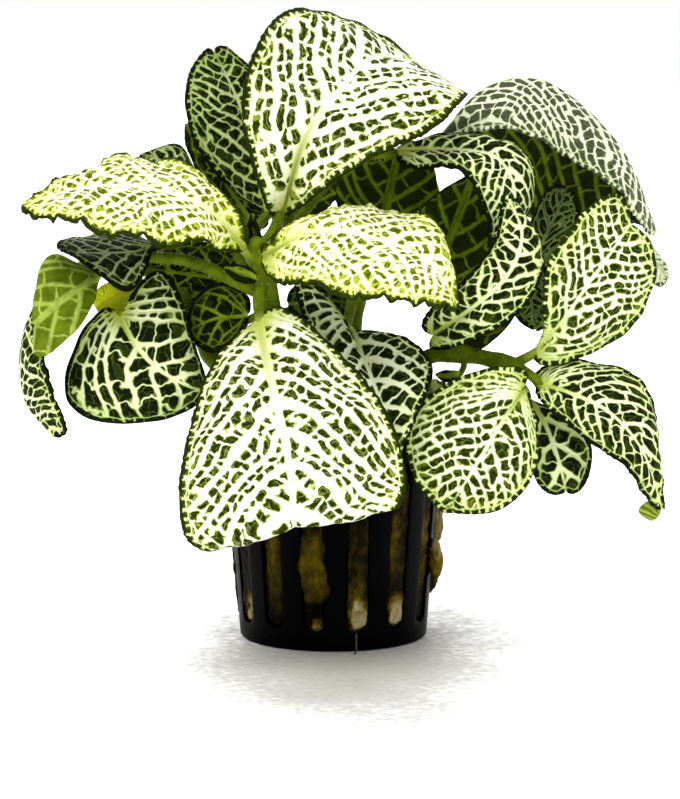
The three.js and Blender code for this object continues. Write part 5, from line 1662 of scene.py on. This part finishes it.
for lump_size, lump_depth in WOOL_LUMPS:
    clouds = bpy.data.textures.new("wool_lumps", "CLOUDS")
    clouds.noise_scale = lump_size * MM
    clouds.noise_depth = 3
    apply_modifier(wool, "DISPLACE", texture=clouds, strength=lump_depth * MM, mid_level=0.55)
select_only(wool)
bpy.ops.object.shade_smooth()
print("felt:", len(wool.data.vertices), "points")

# %% [markdown]
# The colour streaks run up the pot, and a few spots are lighter or darker. The four pale ones and the two
# dark ones low down, at the empty foot of the slots, are painted light where the bright room shows through
# and painted shade where it is dark inside; the others are wetter or drier wool. Each spot is given by its
# place across and up the front, its reach either way, and how much lighter it is. Its outline wanders.

# %% Wool finish
# The four pale spots and the two dark ones at heights 5 to 8.5 mm are painted light and painted shade at the
# empty foot of the slots; the rest are the wool's own tone.
WOOL_TONE_LIGHT_AND_SHADE_SPOTS = (
    (-4.5, 19, 3.6, 9, 0.21), (-13, 20, 2.6, 9, 0.18), (20, 21, 3.0, 9, 0.17), (12.5, 24, 2.4, 8, 0.14),
    (-17.8, 8, 1.6, 4.5, 0.44), (-3.2, 5, 1.7, 3.5, 0.40), (5.8, 8, 2.6, 4.2, 0.44),
    (14.2, 8, 2.0, 4.6, 0.46),
    (-5, 8.5, 3.6, 3.0, -0.30), (5.2, 13.5, 2.4, 4.0, 0.16), (-22, 26, 2.5, 8, -0.12),
    (24, 24, 2.6, 12, 0.35), (-13, 6, 2.6, 3.2, -0.12),
)
WOOL_TONES = (
    (0.30, (0.0012, 0.0007, 0.0002)), (0.45, (0.008, 0.0050, 0.0004)), (0.58, (0.036, 0.0235, 0.0004)),
    (0.74, (0.115, 0.080, 0.0008)), (0.97, (0.40, 0.34, 0.19)),
)
STREAK_SCALE = (1.25, 1.25, 0.6)
STREAK_CONTRAST = 0.42
PATCH_CONTRAST = 0.35
WOOL_TONE = 0.42
SPOT_WANDER = 3.4
SPOT_EDGE = (0.3, 1.3)
wool_finish, wool_tree, wool_shader = new_material("rock_wool_wet")
wool_place = object_place(wool_tree)
stretch = wool_tree.nodes.new("ShaderNodeMapping")
stretch.inputs["Scale"].default_value = STREAK_SCALE
wire(wool_place, stretch.inputs["Vector"])
streaks = noise(wool_tree, 1.6, 5.0, stretch.outputs["Vector"])
patches = noise(wool_tree, 7.0)
wander = offsets(wool_tree, 2.4)
place = axes(wool_tree, wool_place)


def spot_distance(axis, drift, centre, reach):
    """How far a point is from a spot's centre along one axis, over the spot's reach."""
    return (axis * (1 / MM) + drift * SPOT_WANDER - centre) / reach


tone = (streaks - 0.5) * STREAK_CONTRAST + (patches - 0.5) * PATCH_CONTRAST + WOOL_TONE
# Each spot lightens or darkens the tone: the wool's own tone higher up, and painted light and shade at the
# foot of the slots.
for x, z, wide, tall, change in WOOL_TONE_LIGHT_AND_SHADE_SPOTS:
    across = spot_distance(place[0], wander[0], x, wide)
    upward = spot_distance(place[2], wander[1], z, tall)
    tone = tone + (across * across + upward * upward).fade(*SPOT_EDGE) * change
coat(wool_shader, tone.colours(*WOOL_TONES), roughness=0.6, gloss=0.03)
bump(wool_shader, streaks, depth_mm=0.5, strength=1.0)
wool.data.materials.clear()
wool.data.materials.append(wool_finish)
hand_over(wool, "rock_wool_felt", ["rock_wool_plug"])

# %% [markdown]
# ## A stray root
# One fine root has grown out of the lowest end of a slot. It hangs down the wall and rests its brown tip on
# the table.

# %% Root
ROOT_POINTS = ((5.0, -19.6, 4.6), (5.1, -21.4, 3.6), (5.1, -21.7, 1.6), (5.0, -22.2, 0.35), (4.7, -24.0, 0.3))
ROOT_RADII = ((0, 0.7, 0.88, 1), (0.2, 0.17, 0.28, 0.1))
root_share = np.linspace(0, 1, 30)
root_hair = rod(smooth_path(ROOT_POINTS, root_share), np.interp(root_share, *ROOT_RADII), 1)
root_finish, root_tree, root_shader = new_material("root_brown")
root_tones = (0.3, (0.015, 0.010, 0.002)), (0.7, (0.07, 0.05, 0.01))
coat(root_shader, noise(root_tree, 1.5).colours(*root_tones), roughness=0.6)
root_hair.data.materials.append(root_finish)
hand_over(root_hair, "stray_root", ())

# %% [markdown]
# ## The table
# The plant stands on a white surface. Round the pot a painted shadow turns it a soft, slightly rippled grey
# with a fine grain. Further out it glows as white as the room, painted light that also hides the shadows cast
# there, so it runs into the background without an edge. The painted shadow is an ellipse given in
# millimetres, and a slow noise makes its outline uneven.

# %% Table top
TABLE_SIZE = 4
SHADOW_PATCH_CENTRE = (3, -33)
SHADOW_PATCH_REACH = (45, 78)
SHADOW_PATCH_WANDER = (22, 50)
SHADOW_PATCH_EDGE = (0.55, 1.0)
GRAIN = 0.65
GLOW = 0.6
TABLE_SHADOW_TONES = (
    (0.0, (0.46, 0.44, 0.39)), (0.35, (0.56, 0.545, 0.50)), (0.62, (0.70, 0.69, 0.66)),
    (0.85, (0.87, 0.865, 0.85)), (1.0, (1.0, 1.0, 1.0)),
)
bpy.ops.mesh.primitive_plane_add(size=TABLE_SIZE, location=(0, 0, 0))
table_top = bpy.context.object
table_top.name = "table_top"
table_finish, table_tree, table_shader = new_material("table_pale")
table_place = object_place(table_tree)
wander = offsets(table_tree, 22.0, 4.0)
x, y = axes(table_tree, table_place)[:2]
off = [
    (axis / MM + drift * wide - centre) / reach
    for axis, drift, wide, centre, reach in zip((x, y), wander, SHADOW_PATCH_WANDER, SHADOW_PATCH_CENTRE, SHADOW_PATCH_REACH)
]
grain = noise(table_tree, 2.0, 3.0, table_place) - 0.5
# The grey that this distance gives is painted shadow, darkest next to the pot and fading out to white.
shadow_patch = (off[0] * off[0] + off[1] * off[1]).math("SQRT") + grain * GRAIN
table_shadow_tone = shadow_patch.colours(*TABLE_SHADOW_TONES)
coat(table_shader, table_shadow_tone, roughness=0.5, gloss=0.1)
# The glow is painted light: outside the painted shadow the table shines white over the shadows the plant
# casts.
wire(table_shadow_tone, table_shader.inputs["Emission Color"])
wire((1.0 - shadow_patch.fade(*SHADOW_PATCH_EDGE)) * GLOW, table_shader.inputs["Emission Strength"])
table_top.data.materials.append(table_finish)
print("table top in place")
